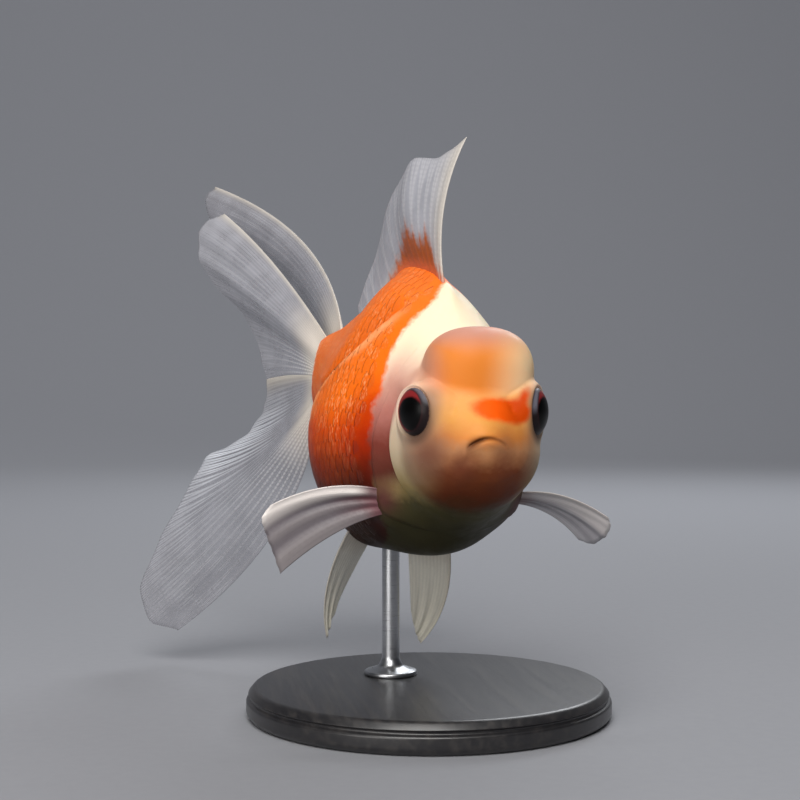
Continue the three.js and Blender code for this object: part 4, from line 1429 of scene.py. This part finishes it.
def steel_surface(add, place):
    """Stainless steel rod, brushed round its length: grey, with fine rings of light."""
    # Brush marks are drawn six to a millimetre or so, coarser than real ones, so that they show.
    drawn = add("VectorMath", {0: place, 1: (0.3, 0.3, 6.0)}, **TIMES)
    brush = add("TexNoise", {"Vector": drawn, "Scale": grains(0.9), "Detail": 4.0})
    return {
        "Base Color": coats(add, "#a9abae", [("#c9cbce", brush, 1)]),
        "Metallic": 1.0,
        "Roughness": add("MapRange", {0: brush, 1: 0.2, 2: 0.8, 3: 0.26, 4: 0.4}, **SMOOTH),
        "Normal": add("Bump", {"Strength": 0.1, "Distance": 0.0001, "Height": brush}),
    }


def paper_surface(add, place):
    """Matt backdrop paper, pale grey with a faint tooth, which is drawn coarse so that it shows."""
    tooth = add("TexNoise", {"Vector": place, "Scale": grains(2.0), "Detail": 3.0})
    return {"Base Color": coats(add, "#8a8b90", [("#8f9095", tooth, 1)]), "Roughness": 0.9}


# ---- Camera, light and room -------------------------------------------------------------------------


def make_camera():
    """A level camera in front of the fish, a little to its right."""
    right = np.array([math.cos(CAMERA_AZIMUTH), math.sin(CAMERA_AZIMUTH), 0])
    ahead = np.array([-math.sin(CAMERA_AZIMUTH), math.cos(CAMERA_AZIMUTH), 0])
    place = SNOUT - CAMERA_DISTANCE * ahead + CAMERA_SIDE * right + np.array([0, 0, CAMERA_ABOVE])
    data = bpy.data.cameras.new("camera")
    data.lens = LENS_MM
    data.sensor_width = 36
    data.clip_start = 0.01
    camera = bpy.data.objects.new("camera", data)
    camera.location = Vector(place * MM)
    camera.rotation_euler = Vector(ahead).to_track_quat("-Z", "Y").to_euler()
    bpy.context.scene.collection.objects.link(camera)
    bpy.context.scene.camera = camera


def make_light(name, place, aim, size, watts, colour):
    """A round soft light, aimed from one place at another."""
    data = bpy.data.lights.new(name, "AREA")
    data.shape = "DISK"
    data.size = size
    data.energy = watts
    data.color = colour
    light = bpy.data.objects.new(name, data)
    light.location = place
    light.rotation_euler = (Vector(aim) - Vector(place)).to_track_quat("-Z", "Y").to_euler()
    bpy.context.scene.collection.objects.link(light)


def make_lights():
    """Three lights round the fish, one on the backdrop, and a dim room."""
    middle = (0, 0, 0.05)
    make_light("light_above", (-0.14, -0.42, 0.5), middle, 0.45, 4.3, (1.0, 0.985, 0.96))
    make_light("light_left", (-0.5, -0.55, 0.16), middle, 0.5, 2.2, (1.0, 0.97, 0.94))
    make_light("light_behind", (0.3, 0.5, 0.5), middle, 0.4, 2.0, (0.94, 0.97, 1.0))
    make_light("light_backdrop", (0.0, 0.5, 1.3), (0, 1.9, 0.5), 0.8, 14.0, (0.97, 0.98, 1.0))
    world = bpy.data.worlds.new("room")
    world.use_nodes = True
    background = world.node_tree.nodes["Background"].inputs
    background["Color"].default_value = linear("#dfe3ea")
    background["Strength"].default_value = 0.18
    bpy.context.scene.world = world


def make_floor(material):
    """A round sheet of paper that rises gently into a backdrop all round."""
    flat = np.linspace(0.05, 1, 8) * FLOOR_RADIUS
    bend = np.radians(np.linspace(4, 90, 24))
    wall = FLOOR_RADIUS + COVE_RADIUS
    reach = np.concatenate([flat, FLOOR_RADIUS + COVE_RADIUS * np.sin(bend), [wall]])
    rise = np.concatenate([0 * flat, COVE_RADIUS * (1 - np.cos(bend)), [COVE_RADIUS * 2]])
    sides = 96
    # Its middle is the first of the two end points, and its top is open.
    points = turned_rings(list(zip(reach, rise)), (0, 0), sides)[:-1]
    faces = ring_faces(len(reach), sides)[:, ::-1].tolist()
    middle = len(reach) * sides
    faces += [[middle, k, (k + 1) % sides] for k in range(sides)]
    mesh = bpy.data.meshes.new("floor")
    mesh.from_pydata(points.tolist(), [], faces)
    mesh.polygons.foreach_set("use_smooth", [True] * len(mesh.polygons))
    mesh.materials.append(material)
    floor = bpy.data.objects.new("floor", mesh)
    bpy.context.scene.collection.objects.link(floor)


# ---- The scene --------------------------------------------------------------------------------------

bpy.context.scene.view_settings.view_transform = "Standard"
make_camera()
make_lights()
make_floor(make_material("pale_backdrop_paper", paper_surface))
lacquer = make_material("black_lacquered_beech", lacquer_surface)
make_stand(lacquer, make_material("brushed_stainless_steel", steel_surface))
make_skin(make_material("moist_fish_skin", skin_surface))
horn = make_material("guanine_fish_scale", scale_surface)
rng = np.random.default_rng(RANDOM_SEED)
for side, (row, at) in scale_roots().items():
    make_coat(side, row, at, horn, rng)
wet_eye = make_material("wet_fish_eye", eye_surface)
for side in (1, -1):
    make_eye(side, wet_eye)
web = make_material("clear_fin_web", fin_surface)
for number, (name, fin) in enumerate(FINS.items()):
    make_fin(name, fin, web, np.random.default_rng(RANDOM_SEED + number + 1))
